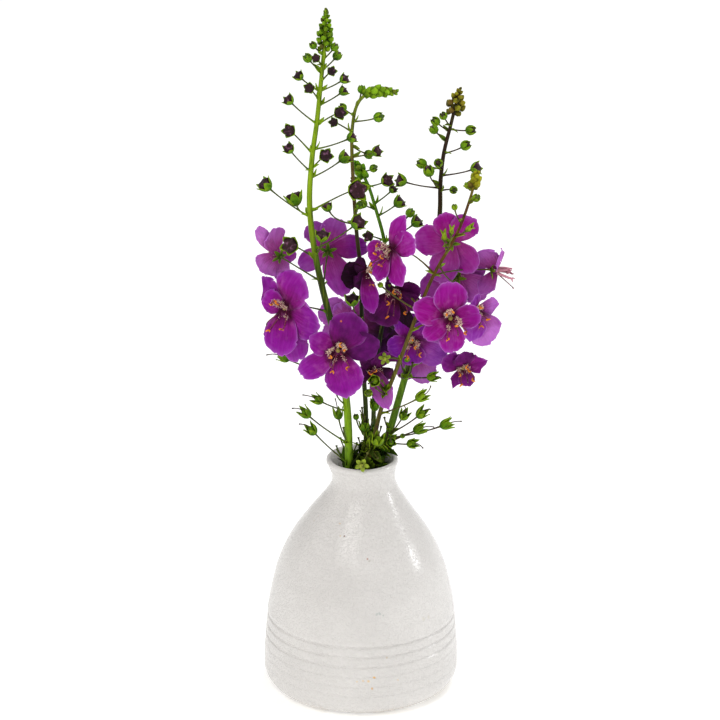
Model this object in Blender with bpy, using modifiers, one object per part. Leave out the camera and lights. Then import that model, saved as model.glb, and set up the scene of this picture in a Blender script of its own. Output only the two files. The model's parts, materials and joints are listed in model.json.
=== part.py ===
"""Stems of purple mullein standing in a small white bottle vase.

Everything is in metres, +Z up, with the origin at the middle of the vase's flat foot, which stands
on Z = 0, and -Y towards the front. Lengths in the lists below are millimetres times MM.

Places in the spray are read off the front view: how far right of the vase's axis, how far up the
view and how deep behind the axis a point lies. The front view looks down by VIEW_TILT, and
sighted() turns such a reading into a place in space.
"""

import math

import bmesh
import bpy
from mathutils import Vector

MM = 0.001

# The front view that the spray is read from.
VIEW_TILT = math.radians(22.2)
VIEW_DISTANCE = 2400.0
VIEW_MIDDLE_RIGHT = -0.4
VIEW_MIDDLE_UP = 130.2

# The vase: radius and height of its outline, from the rim's crest down to the foot.
RIM_OUTLINE = ((13.4, 98.6), (14.3, 97.9), (14.5, 96.6), (13.6, 94.0))
NECK_OUTLINE = ((12.75, 91.0), (13.0, 88.0), (14.9, 84.0))
SHOULDER_OUTLINE = ((18.3, 79.0), (22.5, 73.0), (27.2, 66.0), (31.4, 58.0), (34.6, 49.0), (36.8, 39.0))
HEEL_OUTLINE = ((39.2, 7.6), (38.3, 4.8), (36.4, 2.2), (33.4, 0.5), (32.6, 0.0))
GROOVE_COUNT = 6
GROOVE_TOP = 31.0
GROOVE_PITCH = 4.15
GROOVE_HALF_WIDTH = 0.7
GROOVE_DEPTH = 0.45
GROOVED_RADIUS_TOP = 37.9
GROOVED_RADIUS_FOOT = 39.25
WALL = 2.4
MOUTH_RADIUS = 12.3
MOUTH_EDGE_HEIGHT = 97.8
NECK_BORE_RADIUS = 10.9
NECK_BORE_TOP = 93.0
NECK_BORE_FOOT = 88.0
FLOOR_HEIGHT = 4.0
FLOOR_RADIUS = 31.0
VASE_STEPS = 30

# The water, which the stems stand in.
WATER_LEVEL = 70.0
WATER_RADIUS = 20.2
WATER_GAP = 0.6
WATER_STEPS = 15
HOLE_CLEARANCE = 0.35
STEM_FOOT_HEIGHT = 4.9

STEM_SIDES_RESOLUTION = 2
STEM_POINTS_PER_SPAN = 1
RING_SIDES = 5
PEDICEL_RADIUS = 0.42
SEAT_GAP = 0.3
PETAL_THICKNESS = 0.7
PETALS = 5

# Each stem: where its cut end stands in the vase, its guide points as (right, up, depth) in the front
# view from the mouth to the tip, its radius at the foot and under the tip, and the raceme's growing
# end as (length along the stem, greatest radius).
STEMS = {
    "left_stem": {
        "foot": (-5.0, -4.0),
        "guide": (
            (-4.8, 88.2, -7.0),
            (-5.0, 103.0, -9.5),
            (-6.0, 116.0, -11.5),
            (-8.6, 134.0, -13.5),
            (-13.1, 149.8, -14.5),
            (-18.2, 172.2, -15.0),
            (-20.5, 192.0, -14.0),
            (-19.6, 210.2, -12.0),
            (-17.6, 225.4, -10.0),
            (-15.8, 243.2, -8.0),
            (-14.6, 256.0, -7.0),
            (-13.9, 270.4, -6.0),
        ),
        "girth": (1.8, 0.7),
        "tip": (17.0, 2.6),
    },
    "bent_stem": {
        "foot": (2.0, -2.0),
        "guide": (
            (1.9, 92.0, 0.0),
            (1.9, 109.0, -1.0),
            (1.0, 126.0, -1.5),
            (0.2, 150.0, -2.0),
            (-0.2, 166.0, -2.0),
            (-2.0, 183.5, -1.0),
            (-3.6, 210.6, 2.0),
            (-3.4, 224.0, 3.0),
            (-1.2, 233.0, 3.0),
            (4.2, 237.2, 2.5),
            (14.0, 237.4, 2.0),
        ),
        "girth": (1.1, 0.6),
        "tip": (13.0, 2.0),
    },
    "back_stem": {
        "foot": (2.0, 16.0),
        "guide": (
            (4.8, 92.0, 7.0),
            (5.2, 114.0, 6.5),
            (6.8, 134.0, 7.5),
            (10.0, 152.0, 9.0),
            (10.8, 164.0, 10.0),
            (9.2, 178.4, 11.0),
            (5.9, 190.6, 12.0),
            (2.6, 200.8, 12.0),
            (-2.4, 209.4, 12.0),
        ),
        "girth": (1.1, 0.6),
        "tip": (8.0, 2.1),
    },
    "right_stem": {
        "foot": (-14.0, 16.0),
        "guide": (
            (8.8, 93.4, 0.0),
            (12.0, 103.4, 1.0),
            (16.4, 118.8, 3.0),
            (20.0, 131.0, 5.0),
            (25.6, 150.2, 9.0),
            (30.2, 172.0, 12.0),
            (31.6, 189.8, 12.0),
            (31.8, 201.0, 12.0),
            (33.1, 212.6, 11.0),
            (36.0, 224.5, 10.0),
            (39.4, 238.4, 9.0),
        ),
        "girth": (1.8, 0.6),
        "tip": (11.5, 3.0),
    },
    "front_stem": {
        "foot": (-16.0, 8.0),
        "guide": (
            (4.3, 94.0, -7.0),
            (8.2, 111.0, -12.0),
            (15.4, 129.4, -18.0),
            (21.6, 146.2, -21.0),
            (28.8, 163.6, -21.0),
            (38.4, 180.7, -19.0),
            (43.5, 194.2, -17.0),
            (46.4, 205.0, -15.0),
        ),
        "girth": (1.1, 0.5),
        "tip": (6.5, 1.8),
    },
}

# Each bud or seed pod: kind, height up the view where its stalk leaves the stem, its own place as
# (right, up, depth), its size against the kind's profile, and which way it faces.
BUDS = {
    "left_stem": (
        ("tight", 252.0, -18.2, 255.0, -8.0, 0.75, "out"),
        ("tight", 250.4, -11.6, 254.0, -6.5, 0.8, "out"),
        ("star", 247.6, -17.8, 250.8, -11.0, 0.75, "front"),
        ("tight", 246.0, -10.8, 250.4, -5.0, 0.9, "out"),
        ("tight", 245.0, -20.2, 249.6, -8.0, 0.9, "out"),
        ("star", 241.6, -12.0, 245.6, -11.5, 0.8, "front"),
        ("star", 237.4, -23.6, 243.0, -10.0, 0.9, "out"),
        ("star", 237.8, -8.2, 241.6, -9.5, 0.9, "out"),
        ("star", 234.0, -20.4, 238.8, -14.0, 0.9, "front"),
        ("star", 232.0, -8.6, 236.6, -7.0, 0.9, "out"),
        ("star", 224.6, -27.4, 233.4, -12.0, 1.0, "out"),
        ("star", 224.2, -9.0, 229.0, -14.0, 1.0, "front"),
        ("star", 214.4, -5.6, 218.4, -9.0, 1.0, "out"),
        ("star", 212.6, -28.2, 221.6, -15.0, 1.1, "front"),
        ("star", 206.6, -14.6, 211.8, -16.0, 1.0, "front"),
        ("star", 205.4, -27.8, 213.4, -17.0, 1.0, "front"),
        ("star", 203.0, -8.6, 209.6, -5.0, 0.9, "out"),
        ("star", 189.6, -4.4, 197.0, -14.0, 1.1, "out"),
        ("star", 188.4, -25.6, 192.4, -8.0, 1.1, "back"),
        ("star", 187.2, -36.8, 198.8, -12.0, 1.1, "out"),
        ("star", 174.4, -3.2, 183.6, -20.0, 1.1, "out"),
        ("star", 170.6, -27.4, 176.0, -18.0, 1.2, "front"),
        ("pod", 123.4, -28.6, 130.2, -4.0, 0.9, "out"),
        ("pod", 109.6, -15.6, 113.4, -15.0, 0.9, "out"),
        ("pod", 96.6, -20.6, 107.6, -13.0, 1.0, "out"),
        ("pod", 96.0, -8.8, 106.4, -4.0, 0.9, "up"),
    ),
    "bent_stem": (
        ("tight", 231.6, 0.0, 236.8, 5.0, 0.8, "up"),
        ("tight", 228.0, -6.4, 230.4, 1.0, 0.8, "out"),
        ("tight", 225.6, 5.4, 226.8, 0.0, 1.0, "out"),
        ("star", 221.4, -10.4, 225.2, 1.0, 0.8, "front"),
        ("star", 211.4, 5.2, 213.4, -1.0, 0.9, "out"),
        ("tight", 216.0, 1.4, 213.0, 6.0, 0.9, "out"),
        ("star", 184.6, -12.6, 190.0, 1.0, 0.9, "back"),
        ("pod", 146.0, -3.6, 152.0, -8.0, 0.9, "up"),
        ("pod", 96.4, 1.4, 101.8, -5.0, 0.9, "up"),
    ),
    "back_stem": (
        ("tight", 205.4, 4.0, 206.4, 9.0, 0.8, "out"),
        ("tight", 200.6, -1.6, 201.6, 9.0, 0.8, "out"),
        ("star", 199.6, 9.4, 201.2, 8.0, 0.9, "out"),
        ("star", 192.6, 11.6, 197.4, 12.0, 0.8, "out"),
        ("tight", 190.4, 1.8, 192.0, 9.0, 0.9, "out"),
        ("star", 187.8, 13.4, 191.8, 14.0, 0.9, "out"),
        ("star", 178.0, 3.4, 179.8, 6.0, 0.9, "front"),
        ("star", 177.4, 18.0, 185.2, 14.0, 0.9, "out"),
        ("pod", 104.0, 5.4, 110.0, 2.0, 0.9, "up"),
    ),
    "right_stem": (
        ("tight", 223.6, 33.4, 227.0, 6.0, 0.8, "out"),
        ("tight", 221.6, 31.0, 224.6, 9.0, 0.9, "out"),
        ("tight", 222.6, 42.0, 222.0, 8.0, 1.0, "out"),
        ("tight", 217.6, 30.4, 221.0, 12.0, 0.9, "out"),
        ("tight", 212.8, 40.2, 215.2, 9.0, 1.0, "out"),
        ("tight", 206.4, 31.0, 209.0, 7.0, 0.9, "front"),
        ("tight", 206.6, 26.2, 208.0, 12.0, 1.0, "out"),
        ("tight", 199.8, 27.6, 203.8, 8.0, 1.1, "up"),
        ("star", 199.0, 16.8, 201.4, 12.0, 1.0, "out"),
        ("star", 204.0, 44.0, 206.2, 10.0, 1.0, "out"),
        ("star", 198.0, 36.6, 198.4, 8.0, 0.8, "front"),
        ("pod", 123.6, 26.8, 123.2, -2.0, 0.9, "out"),
        ("pod", 100.4, 22.6, 107.6, -4.0, 1.0, "out"),
        ("pod", 99.0, 31.6, 103.6, 5.0, 1.0, "out"),
        ("pod", 98.6, 21.0, 101.6, 1.0, 1.0, "out"),
        ("pod", 97.4, 18.8, 96.6, -6.0, 0.9, "out"),
    ),
    "front_stem": (
        ("tight", 199.0, 43.2, 198.6, -13.0, 0.7, "up"),
        ("tight", 193.0, 45.4, 194.4, -20.0, 0.8, "out"),
        ("tight", 185.0, 37.6, 190.2, -21.0, 0.9, "up"),
        ("pod", 174.0, 32.6, 180.2, -24.0, 0.8, "up"),
        ("pod", 179.4, 44.2, 183.6, -22.0, 0.8, "out"),
        ("pod", 116.0, 6.4, 121.6, -25.0, 0.9, "front"),
        ("star", 130.6, 10.4, 130.6, -27.0, 0.9, "front"),
        ("pod", 108.6, 22.0, 114.4, -12.0, 1.0, "out"),
        ("pod", 97.0, 6.4, 96.4, -13.0, 1.1, "up"),
        ("star", 96.0, 0.9, 89.6, -15.0, 0.8, "front"),
    ),
}

# Each open flower: its stem, height up the view where its stalk leaves, its middle as
# (right, up, depth), where it faces as (degrees round from the front, degrees above level), its
# radius, how far it is cupped in degrees, and its petals as (degrees round the flower's face from
# its own right, reach against the radius, cupping of its own).
BLOOMS = {
    "bloom_01": (
        "left_stem", 161.6, (-33.2, 172.2, -6.0), (-140, 8), 12.5, 16,
        ((40, 1.12, 14), (92, 1.0, 24), (180, 0.9, 22), (254, 0.95, 16), (335, 0.95, 10)),
    ),
    "bloom_02": (
        "left_stem", 149.4, (-29.6, 151.0, -19.0), (-48, 4), 15.0, 14,
        ((80, 1.12, 10), (138, 1.1, 14), (194, 0.85, 26), (265, 1.22, 8), (346, 1.0, 10)),
    ),
    "bloom_03": (
        "left_stem", 158.6, (-13.2, 174.2, 5.0), (176, 6), 15.5, 10,
        ((48, 0.86, 12), (114, 0.95, 14), (176, 1.04, 8), (255, 1.2, 6), (328, 0.93, 12)),
    ),
    "bloom_04": (
        "bent_stem", 160.0, (1.6, 166.0, -8.0), (66, -6), 11.5, 20,
        ((20, 0.95, 30), (92, 1.0, 34), (164, 1.0, 28), (236, 0.95, 26), (308, 1.0, 30)),
    ),
    "bloom_05": (
        "front_stem", 164.6, (12.0, 174.2, -25.0), (-52, 8), 14.0, 12,
        ((3, 1.1, 8), (62, 1.1, 14), (168, 0.95, 24), (242, 1.0, 14), (312, 1.26, 6)),
    ),
    "bloom_06": (
        "front_stem", 177.0, (36.0, 177.4, -10.0), (180, 8), 14.0, 10,
        ((3, 1.05, 10), (80, 0.86, 16), (157, 0.88, 14), (235, 1.0, 6), (299, 1.17, 4)),
    ),
    "bloom_07": (
        "front_stem", 164.0, (53.4, 166.2, 0.0), (100, -8), 11.5, 0,
        ((20, 0.9, -6), (90, 0.84, 16), (160, 0.88, -18), (230, 0.88, -4), (300, 0.88, -6)),
    ),
    "bloom_08": (
        "front_stem", 142.0, (35.6, 147.0, -38.0), (10, 14), 14.5, 8,
        ((357, 0.86, 14), (80, 1.0, 8), (167, 1.04, 8), (221, 0.98, 10), (275, 0.98, 12)),
    ),
    "bloom_09": (
        "right_stem", 146.0, (44.6, 149.8, -17.0), (52, 4), 13.5, 12,
        ((8, 0.95, 14), (84, 0.66, 20), (160, 0.9, 14), (236, 0.9, 10), (306, 1.12, 10)),
    ),
    "bloom_10": (
        "right_stem", 134.0, (20.0, 138.2, -4.0), (8, -6), 13.5, 12,
        ((55, 0.9, 16), (124, 0.9, 12), (200, 0.75, 18), (270, 0.9, 12), (340, 1.06, 6)),
    ),
    "bloom_11": (
        "front_stem", 151.0, (13.6, 157.8, -10.0), (130, -50), 11.0, 12,
        ((16, 1.0, 18), (88, 1.0, 20), (160, 1.0, 16), (234, 1.1, 20), (306, 0.95, 22)),
    ),
    "bloom_12": (
        "left_stem", 124.0, (-9.2, 134.2, -33.0), (-4, 12), 16.8, 8,
        ((11, 0.96, 10), (72, 0.9, 8), (140, 0.88, 12), (202, 1.02, 8), (280, 1.1, 6)),
    ),
    "bloom_13": (
        "bent_stem", 122.0, (4.6, 127.0, -7.5), (18, -20), 12.0, 12,
        ((60, 0.9, 24), (130, 0.75, 20), (208, 0.72, 20), (284, 1.2, 6), (346, 0.85, 16)),
    ),
    "bloom_14": (
        "right_stem", 127.4, (40.4, 127.8, -4.0), (14, -16), 8.5, 26,
        ((18, 1.05, 30), (90, 0.9, 36), (162, 1.0, 32), (234, 0.95, 28), (306, 1.0, 34)),
    ),
    "bloom_15": (
        "right_stem", 136.0, (21.6, 132.2, 19.0), (172, -14), 13.5, 8,
        ((18, 0.95, 12), (90, 0.95, 12), (162, 0.9, 12), (234, 1.1, 8), (306, 0.95, 10)),
    ),
    "bloom_16": (
        "bent_stem", 140.0, (-4.6, 145.6, 14.0), (-168, 4), 13.5, 10,
        ((32, 1.0, 12), (102, 1.0, 12), (168, 1.0, 10), (240, 0.95, 12), (312, 0.95, 10)),
    ),
    "bloom_17": (
        "front_stem", 168.0, (38.6, 163.4, 3.0), (172, 0), 13.5, 10,
        ((15, 1.1, 10), (90, 0.9, 14), (166, 0.9, 12), (240, 0.95, 8), (318, 1.1, 8)),
    ),
}

# Rings of a calyx and what it holds, from the end of the stalk up: (distance, radius) pairs with
# RING_SIDES corners, or (tip distance, tip radius, notch distance, notch radius) for a star of sepals.
PROFILES = {
    "tight": ((1.8, 1.6), (3.4, 1.1), (4.1, 0.0)),
    "star": ((0.7, 1.3), (3.6, 3.0, 2.6, 2.0), (4.3, 1.25), (4.9, 0.0)),
    "pod": ((0.7, 1.3), (5.4, 2.4, 2.2, 1.7), (4.7, 0.0)),
    "seat": ((0.5, 1.0), (0.7, 4.4, 1.0, 1.9), (1.6, 1.4)),
}
SEAT_HEIGHT = 1.6

# A petal: rows along it as shares of the flower's radius, and columns as shares of its half width.
PETAL_ROWS = (0.0, 0.16, 0.46, 0.78, 1.0)
PETAL_COLUMNS = (-1.0, -0.38, 0.38, 1.0)
PETAL_CLAW = 0.16
PETAL_WIDTHS = ((0.16, 0.12), (0.46, 0.36), (0.78, 0.45), (1.0, 0.24))
PETAL_SECTOR_SHARE = 0.9
PETAL_TWIST = math.radians(5.0)
PETAL_WAVE = 0.05

# The stamens: a small disc with a filament on every other side, and the style on top.
STAMEN_DISC_RADIUS = 1.25
STAMEN_DISC_HEIGHT = 0.7
FILAMENT_STEPS = ((2.7, 3.9, 1.35), (0.9, 1.5, 0.7))


def sighted(right, up, depth):
    """The place in space that the front view shows at (right, up), at that depth behind the axis."""
    view_up = Vector((0.0, math.sin(VIEW_TILT), math.cos(VIEW_TILT)))
    towards_viewer = Vector((0.0, -math.cos(VIEW_TILT), math.sin(VIEW_TILT)))
    middle = Vector((VIEW_MIDDLE_RIGHT, 0.0, VIEW_MIDDLE_UP / math.cos(VIEW_TILT)))
    eye = middle + towards_viewer * VIEW_DISTANCE
    aim = middle + Vector((right - VIEW_MIDDLE_RIGHT, 0.0, 0.0)) + view_up * (up - VIEW_MIDDLE_UP)
    sight = aim - eye
    return (eye + sight * ((depth - eye.y) / sight.y)) * MM


def facing(around, above):
    """Unit vector that points so many degrees round from the front, towards the right, and above level."""
    turn, lift = math.radians(around), math.radians(above)
    return Vector((math.sin(turn) * math.cos(lift), -math.cos(turn) * math.cos(lift), math.sin(lift)))


def between(before, start, end, after, share):
    """A point on the Catmull-Rom curve from start to end."""
    return 0.5 * (
        2.0 * start
        + (end - before) * share
        + (2.0 * before - 5.0 * start + 4.0 * end - after) * share**2
        + (3.0 * start - before - 3.0 * end + after) * share**3
    )


def smooth_path(guide, steps):
    """Points along a smooth curve through the guide points, so many to each span."""
    ends = [2 * guide[0] - guide[1], *guide, 2 * guide[-1] - guide[-2]]
    path = []
    for before, start, end, after in zip(ends, ends[1:], ends[2:], ends[3:]):
        path += [between(before, start, end, after, step / steps) for step in range(steps)]
    return [*path, guide[-1]]


def stem_path(name, steps=STEM_POINTS_PER_SPAN):
    """The stem's centre line in space, from its cut end in the vase to its tip."""
    stem = STEMS[name]
    mouth_up = [sighted(*point) for point in stem["guide"]]
    foot = Vector((*stem["foot"], STEM_FOOT_HEIGHT)) * MM
    return [foot, *smooth_path(mouth_up, steps)]


def stem_point(name, up):
    """Where the stem's centre line passes a height up the front view."""
    guide = [Vector(point) for point in STEMS[name]["guide"]]
    path = smooth_path(guide, 16)
    for low, high in zip(path, path[1:]):
        if low.y <= up <= high.y:
            reading = low.lerp(high, (up - low.y) / (high.y - low.y))
            return sighted(*reading)
    raise ValueError(f"{name} does not reach {up} up the view")


def lengths_along(path):
    """Distance of each point from the start of the path."""
    total, found = 0.0, [0.0]
    for start, end in zip(path, path[1:]):
        total += (end - start).length
        found.append(total)
    return found


def material(name, colour, roughness=0.6, metallic=0.0):
    """A Principled material of that colour."""
    made = bpy.data.materials.new(name)
    made.use_nodes = True
    shader = made.node_tree.nodes["Principled BSDF"]
    shader.inputs["Base Color"].default_value = (*colour, 1.0)
    shader.inputs["Roughness"].default_value = roughness
    shader.inputs["Metallic"].default_value = metallic
    made.diffuse_color = (*colour, 1.0)
    return made


def add_mesh(name, bm, home, finish=None):
    """The bmesh as a named object in a collection."""
    bmesh.ops.recalc_face_normals(bm, faces=bm.faces)
    mesh = bpy.data.meshes.new(name)
    bm.to_mesh(mesh)
    bm.free()
    obj = bpy.data.objects.new(name, mesh)
    home.objects.link(obj)
    if finish:
        mesh.materials.append(finish)
    return obj


def apply_modifiers(obj):
    """Replaces the object's mesh by its evaluated one."""
    graph = bpy.context.evaluated_depsgraph_get()
    mesh = bpy.data.meshes.new_from_object(obj.evaluated_get(graph))
    obj.modifiers.clear()
    obj.data = mesh


def turned_shape(name, outline, steps, home, finish):
    """A solid turned about the Z axis from a closed outline of (radius, height) in millimetres."""
    bm = bmesh.new()
    corners = [bm.verts.new((radius * MM, 0.0, height * MM)) for radius, height in outline]
    for start, end in zip(corners, corners[1:] + corners[:1]):
        if start.co.x > 0.0 or end.co.x > 0.0:
            bm.edges.new((start, end))
    mesh = bpy.data.meshes.new(name)
    bm.to_mesh(mesh)
    bm.free()
    obj = bpy.data.objects.new(name, mesh)
    home.objects.link(obj)
    mesh.materials.append(finish)
    screw = obj.modifiers.new("Turn", "SCREW")
    screw.steps = steps
    screw.render_steps = steps
    screw.use_merge_vertices = True
    screw.merge_threshold = 0.00001
    screw.use_smooth_shade = True
    return obj


def groove_outline():
    """The grooves cut round the vase's foot, with the plain bands between them."""
    heights = [GROOVE_TOP - GROOVE_PITCH * groove for groove in range(GROOVE_COUNT)]
    foot = heights[-1] - GROOVE_HALF_WIDTH
    points = []
    for height in heights:
        for offset, sunk in ((GROOVE_HALF_WIDTH, 0.0), (0.0, GROOVE_DEPTH), (-GROOVE_HALF_WIDTH, 0.0)):
            level = height + offset
            share = (heights[0] - level) / (heights[0] - foot)
            bulge = math.sin(0.5 * math.pi * max(share, 0.0))
            radius = GROOVED_RADIUS_TOP + (GROOVED_RADIUS_FOOT - GROOVED_RADIUS_TOP) * bulge
            points.append((radius - sunk, level))
    return points


def cavity_outline():
    """The inside of the vase, from the mouth down to the middle of its floor."""
    shoulder = [(radius - WALL, height - 0.6 * WALL) for radius, height in SHOULDER_OUTLINE[::2]]
    belly = [(GROOVED_RADIUS_FOOT - WALL, 14.0), (GROOVED_RADIUS_FOOT - 1.8 * WALL, 7.0)]
    neck = [(NECK_BORE_RADIUS, NECK_BORE_TOP), (NECK_BORE_RADIUS, NECK_BORE_FOOT)]
    return [(MOUTH_RADIUS, MOUTH_EDGE_HEIGHT), *neck, *shoulder, *belly, (FLOOR_RADIUS, FLOOR_HEIGHT)]


def make_vase(home, finish):
    """The bottle vase: down its outside from the rim's crest, over its foot and up its inside."""
    outside = [*RIM_OUTLINE, *NECK_OUTLINE, *SHOULDER_OUTLINE, *groove_outline(), *HEEL_OUTLINE]
    inside = [(0.0, 0.0), (0.0, FLOOR_HEIGHT), *reversed(cavity_outline())]
    return turned_shape("vase", [*outside, *inside], VASE_STEPS, home, finish)


def make_water(home, finish):
    """The water, clear of the vase's inside, with a plain hole for each stem."""
    top, foot = [(0.0, WATER_LEVEL), (WATER_RADIUS, WATER_LEVEL)], FLOOR_HEIGHT + SEAT_GAP
    inside = [(r - WATER_GAP, h) for r, h in cavity_outline() if FLOOR_HEIGHT < h < WATER_LEVEL]
    outline = [*top, *inside, (FLOOR_RADIUS - 2.0 * WATER_GAP, foot), (0.0, foot)]
    water = turned_shape("water", outline, WATER_STEPS, home, finish)
    cutters = bpy.data.collections.new("water_cutters")
    bpy.context.scene.collection.children.link(cutters)
    for name in STEMS:
        foot, mouth = stem_path(name)[:2]
        below = foot + (foot - mouth) * 0.1
        radius = (STEMS[name]["girth"][0] + HOLE_CLEARANCE) * MM
        add_tube(f"{name}_hole", [below, foot, mouth], [radius] * 3, cutters)
    cut = water.modifiers.new("Stem holes", "BOOLEAN")
    cut.operand_type = "COLLECTION"
    cut.collection = cutters
    cut.solver = "EXACT"
    apply_modifiers(water)
    for cutter in list(cutters.objects):
        bpy.data.objects.remove(cutter)
    bpy.data.collections.remove(cutters)
    return water


def add_tube(name, path, radii, home):
    """A round tube with closed ends along the path, as a mesh."""
    curve = bpy.data.curves.new(name, "CURVE")
    curve.dimensions = "3D"
    curve.bevel_depth = 1.0
    curve.bevel_resolution = STEM_SIDES_RESOLUTION
    curve.use_fill_caps = True
    spline = curve.splines.new("POLY")
    spline.points.add(len(path) - 1)
    for point, place, radius in zip(spline.points, path, radii):
        point.co = (*place, 1.0)
        point.radius = radius
    drawn = bpy.data.objects.new(name + "_line", curve)
    home.objects.link(drawn)
    bpy.context.view_layer.update()
    graph = bpy.context.evaluated_depsgraph_get()
    mesh = bpy.data.meshes.new_from_object(drawn.evaluated_get(graph))
    bpy.data.objects.remove(drawn)
    bm = bmesh.new()
    bm.from_mesh(mesh)
    bpy.data.meshes.remove(mesh)
    bmesh.ops.remove_doubles(bm, verts=bm.verts, dist=0.00001)
    for side in bm.faces:
        side.smooth = True
    return add_mesh(name, bm, home)


def ring(bm, centre, axis, radius, count=RING_SIDES, dips=None, side=None):
    """Corners round an axis. Where dips gives a second (centre, radius), every other corner takes it."""
    side = side or axis.orthogonal().normalized()
    other = axis.cross(side).normalized()
    corners = []
    for corner in range(count):
        angle = 2.0 * math.pi * corner / count
        middle, reach = dips if dips and corner % 2 else (centre, radius)
        corners.append(bm.verts.new(middle + (side * math.cos(angle) + other * math.sin(angle)) * reach))
    return corners


def skin(bm, lower, upper):
    """Faces between two rings of the same count, or of which one has twice the other's, or one corner."""
    if len(upper) == 1:
        for here, there in zip(lower, lower[1:] + lower[:1]):
            bm.faces.new((here, there, upper[0]))
    elif len(lower) == len(upper):
        for side in range(len(lower)):
            after = (side + 1) % len(lower)
            bm.faces.new((lower[side], lower[after], upper[after], upper[side]))
    else:
        few, many = (lower, upper) if len(lower) < len(upper) else (upper, lower)
        for side in range(len(few)):
            here, there = few[side], few[(side + 1) % len(few)]
            tip, notch, next_tip = (many[(2 * side + step) % len(many)] for step in range(3))
            bm.faces.new((here, there, notch))
            bm.faces.new((here, notch, tip))
            bm.faces.new((there, next_tip, notch))


def pedicel_path(root, end, axis):
    """A stalk's curve from the middle of the stem to the end, where it runs along the axis."""
    bend = end - axis * (end - root).length * 0.45
    return [root, root.lerp(bend, 0.62).lerp(bend.lerp(end, 0.5), 0.38), end]


def add_calyx(name, kind, root, end, axis, size, home):
    """A stalk that swells into a calyx, with the bud or pod that it holds, as one lofted solid."""
    bm = bmesh.new()
    path = pedicel_path(root, end, axis)
    rings = stalk_rings(bm, path, [path[1] - path[0], path[2] - path[0], axis])
    rings += [profile_ring(bm, end, axis, level, size * MM) for level in PROFILES[kind]]
    for lower, upper in zip(rings, rings[1:]):
        skin(bm, lower, upper)
    bm.faces.new(list(reversed(rings[0])))
    if len(rings[-1]) > 1:
        bm.faces.new(rings[-1])
    return add_mesh(name, bm, home)


def stalk_rings(bm, path, spine):
    """Rings along a stalk, turned as little as possible from the last one back to the first."""
    side = spine[-1].orthogonal().normalized()
    found = []
    for place, along in zip(reversed(path), reversed(spine)):
        along = along.normalized()
        side = (side - along * side.dot(along)).normalized()
        found.insert(0, ring(bm, place, along, PEDICEL_RADIUS * MM, side=side))
    return found


def profile_ring(bm, end, axis, level, scale):
    """One ring of a calyx's profile: a point, a pentagon, or a star of sepal tips and notches."""
    if len(level) == 4:
        tip, tip_radius, notch, notch_radius = (value * scale for value in level)
        hollow = (end + axis * notch, notch_radius)
        return ring(bm, end + axis * tip, axis, tip_radius, 2 * RING_SIDES, hollow)
    distance, radius = (value * scale for value in level)
    if radius == 0.0:
        return [bm.verts.new(end + axis * distance)]
    return ring(bm, end + axis * distance, axis, radius)


def bud_axis(way, root, place):
    """Which way a bud points: out along its stalk, up, or more to the front or the back."""
    out = (place - root).normalized()
    lean = {
        "out": Vector((0.0, 0.0, 0.25)),
        "up": Vector((0.0, 0.0, 1.6)),
        "front": Vector((0.0, -2.4, 0.5)),
        "back": Vector((0.0, 2.4, 0.3)),
    }[way]
    return (out + lean).normalized()


def add_growing_end(name, home):
    """The tip of a raceme: a cone of unopened buds, five to a ring and each ring turned half a step."""
    length, greatest = STEMS[name]["tip"]
    path = stem_path(name, 8)
    along = lengths_along(path)
    start = along[-1] - length * MM
    rows = max(5, round(length / 2.1))
    bm = bmesh.new()
    rings = []
    for row in range(rows):
        share = row / rows
        place, axis = point_along(path, along, start + length * MM * share)
        taper = (0.35 + 2.6 * share) if share < 0.25 else 1.0 - 0.82 * ((share - 0.25) / 0.75) ** 1.15
        radius = greatest * taper * MM
        bumps, dips = (radius * 1.16, radius * 0.84) if row % 2 else (radius * 0.84, radius * 1.16)
        rings.append(ring(bm, place, axis, bumps, 2 * RING_SIDES, (place, dips)))
    rings.append([bm.verts.new(path[-1])])
    for lower, upper in zip(rings, rings[1:]):
        skin(bm, lower, upper)
    bm.faces.new(list(reversed(rings[0])))
    return add_mesh(name + "_end", bm, home)


def point_along(path, along, distance):
    """The point and direction at a distance from the start of a path."""
    for place in range(len(path) - 1):
        if along[place + 1] >= distance:
            share = (distance - along[place]) / (along[place + 1] - along[place])
            return path[place].lerp(path[place + 1], share), (path[place + 1] - path[place]).normalized()
    return path[-1], (path[-1] - path[-2]).normalized()


def make_stem(name, home, finish):
    """One flower stem with its stalks, buds, pods, calyces and growing end, joined into one solid."""
    guide = stem_path(name)
    along = lengths_along(guide)
    inside_tip = along[-1] - 0.5 * STEMS[name]["tip"][0] * MM
    path = [place for place, distance in zip(guide, along) if distance < inside_tip]
    path.append(point_along(guide, along, inside_tip)[0])
    thick, thin = STEMS[name]["girth"]
    shares = [distance / along[-1] for distance in lengths_along(path)]
    stem = add_tube(name, path, [(thick + (thin - thick) * share**1.5) * MM for share in shares], home)
    stem.data.materials.append(finish)
    growths = bpy.data.collections.new(name + "_growths")
    bpy.context.scene.collection.children.link(growths)
    add_growing_end(name, growths)
    for number, (kind, joins, right, up, depth, size, way) in enumerate(BUDS[name]):
        root, place = stem_point(name, joins), sighted(right, up, depth)
        add_calyx(f"{name}_bud_{number}", kind, root, place, bud_axis(way, root, place), size, growths)
    for bloom, (stem_name, joins, reading, look, _, _, _) in BLOOMS.items():
        if stem_name == name:
            axis = facing(*look)
            end = sighted(*reading) - axis * SEAT_HEIGHT * MM
            add_calyx(f"{bloom}_calyx", "seat", stem_point(name, joins), end, axis, 1.0, growths)
    union = stem.modifiers.new("Growths", "BOOLEAN")
    union.operation = "UNION"
    union.operand_type = "COLLECTION"
    union.collection = growths
    union.solver = "MANIFOLD"
    apply_modifiers(stem)
    for growth in list(growths.objects):
        bpy.data.objects.remove(growth)
    bpy.data.collections.remove(growths)
    return stem


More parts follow.
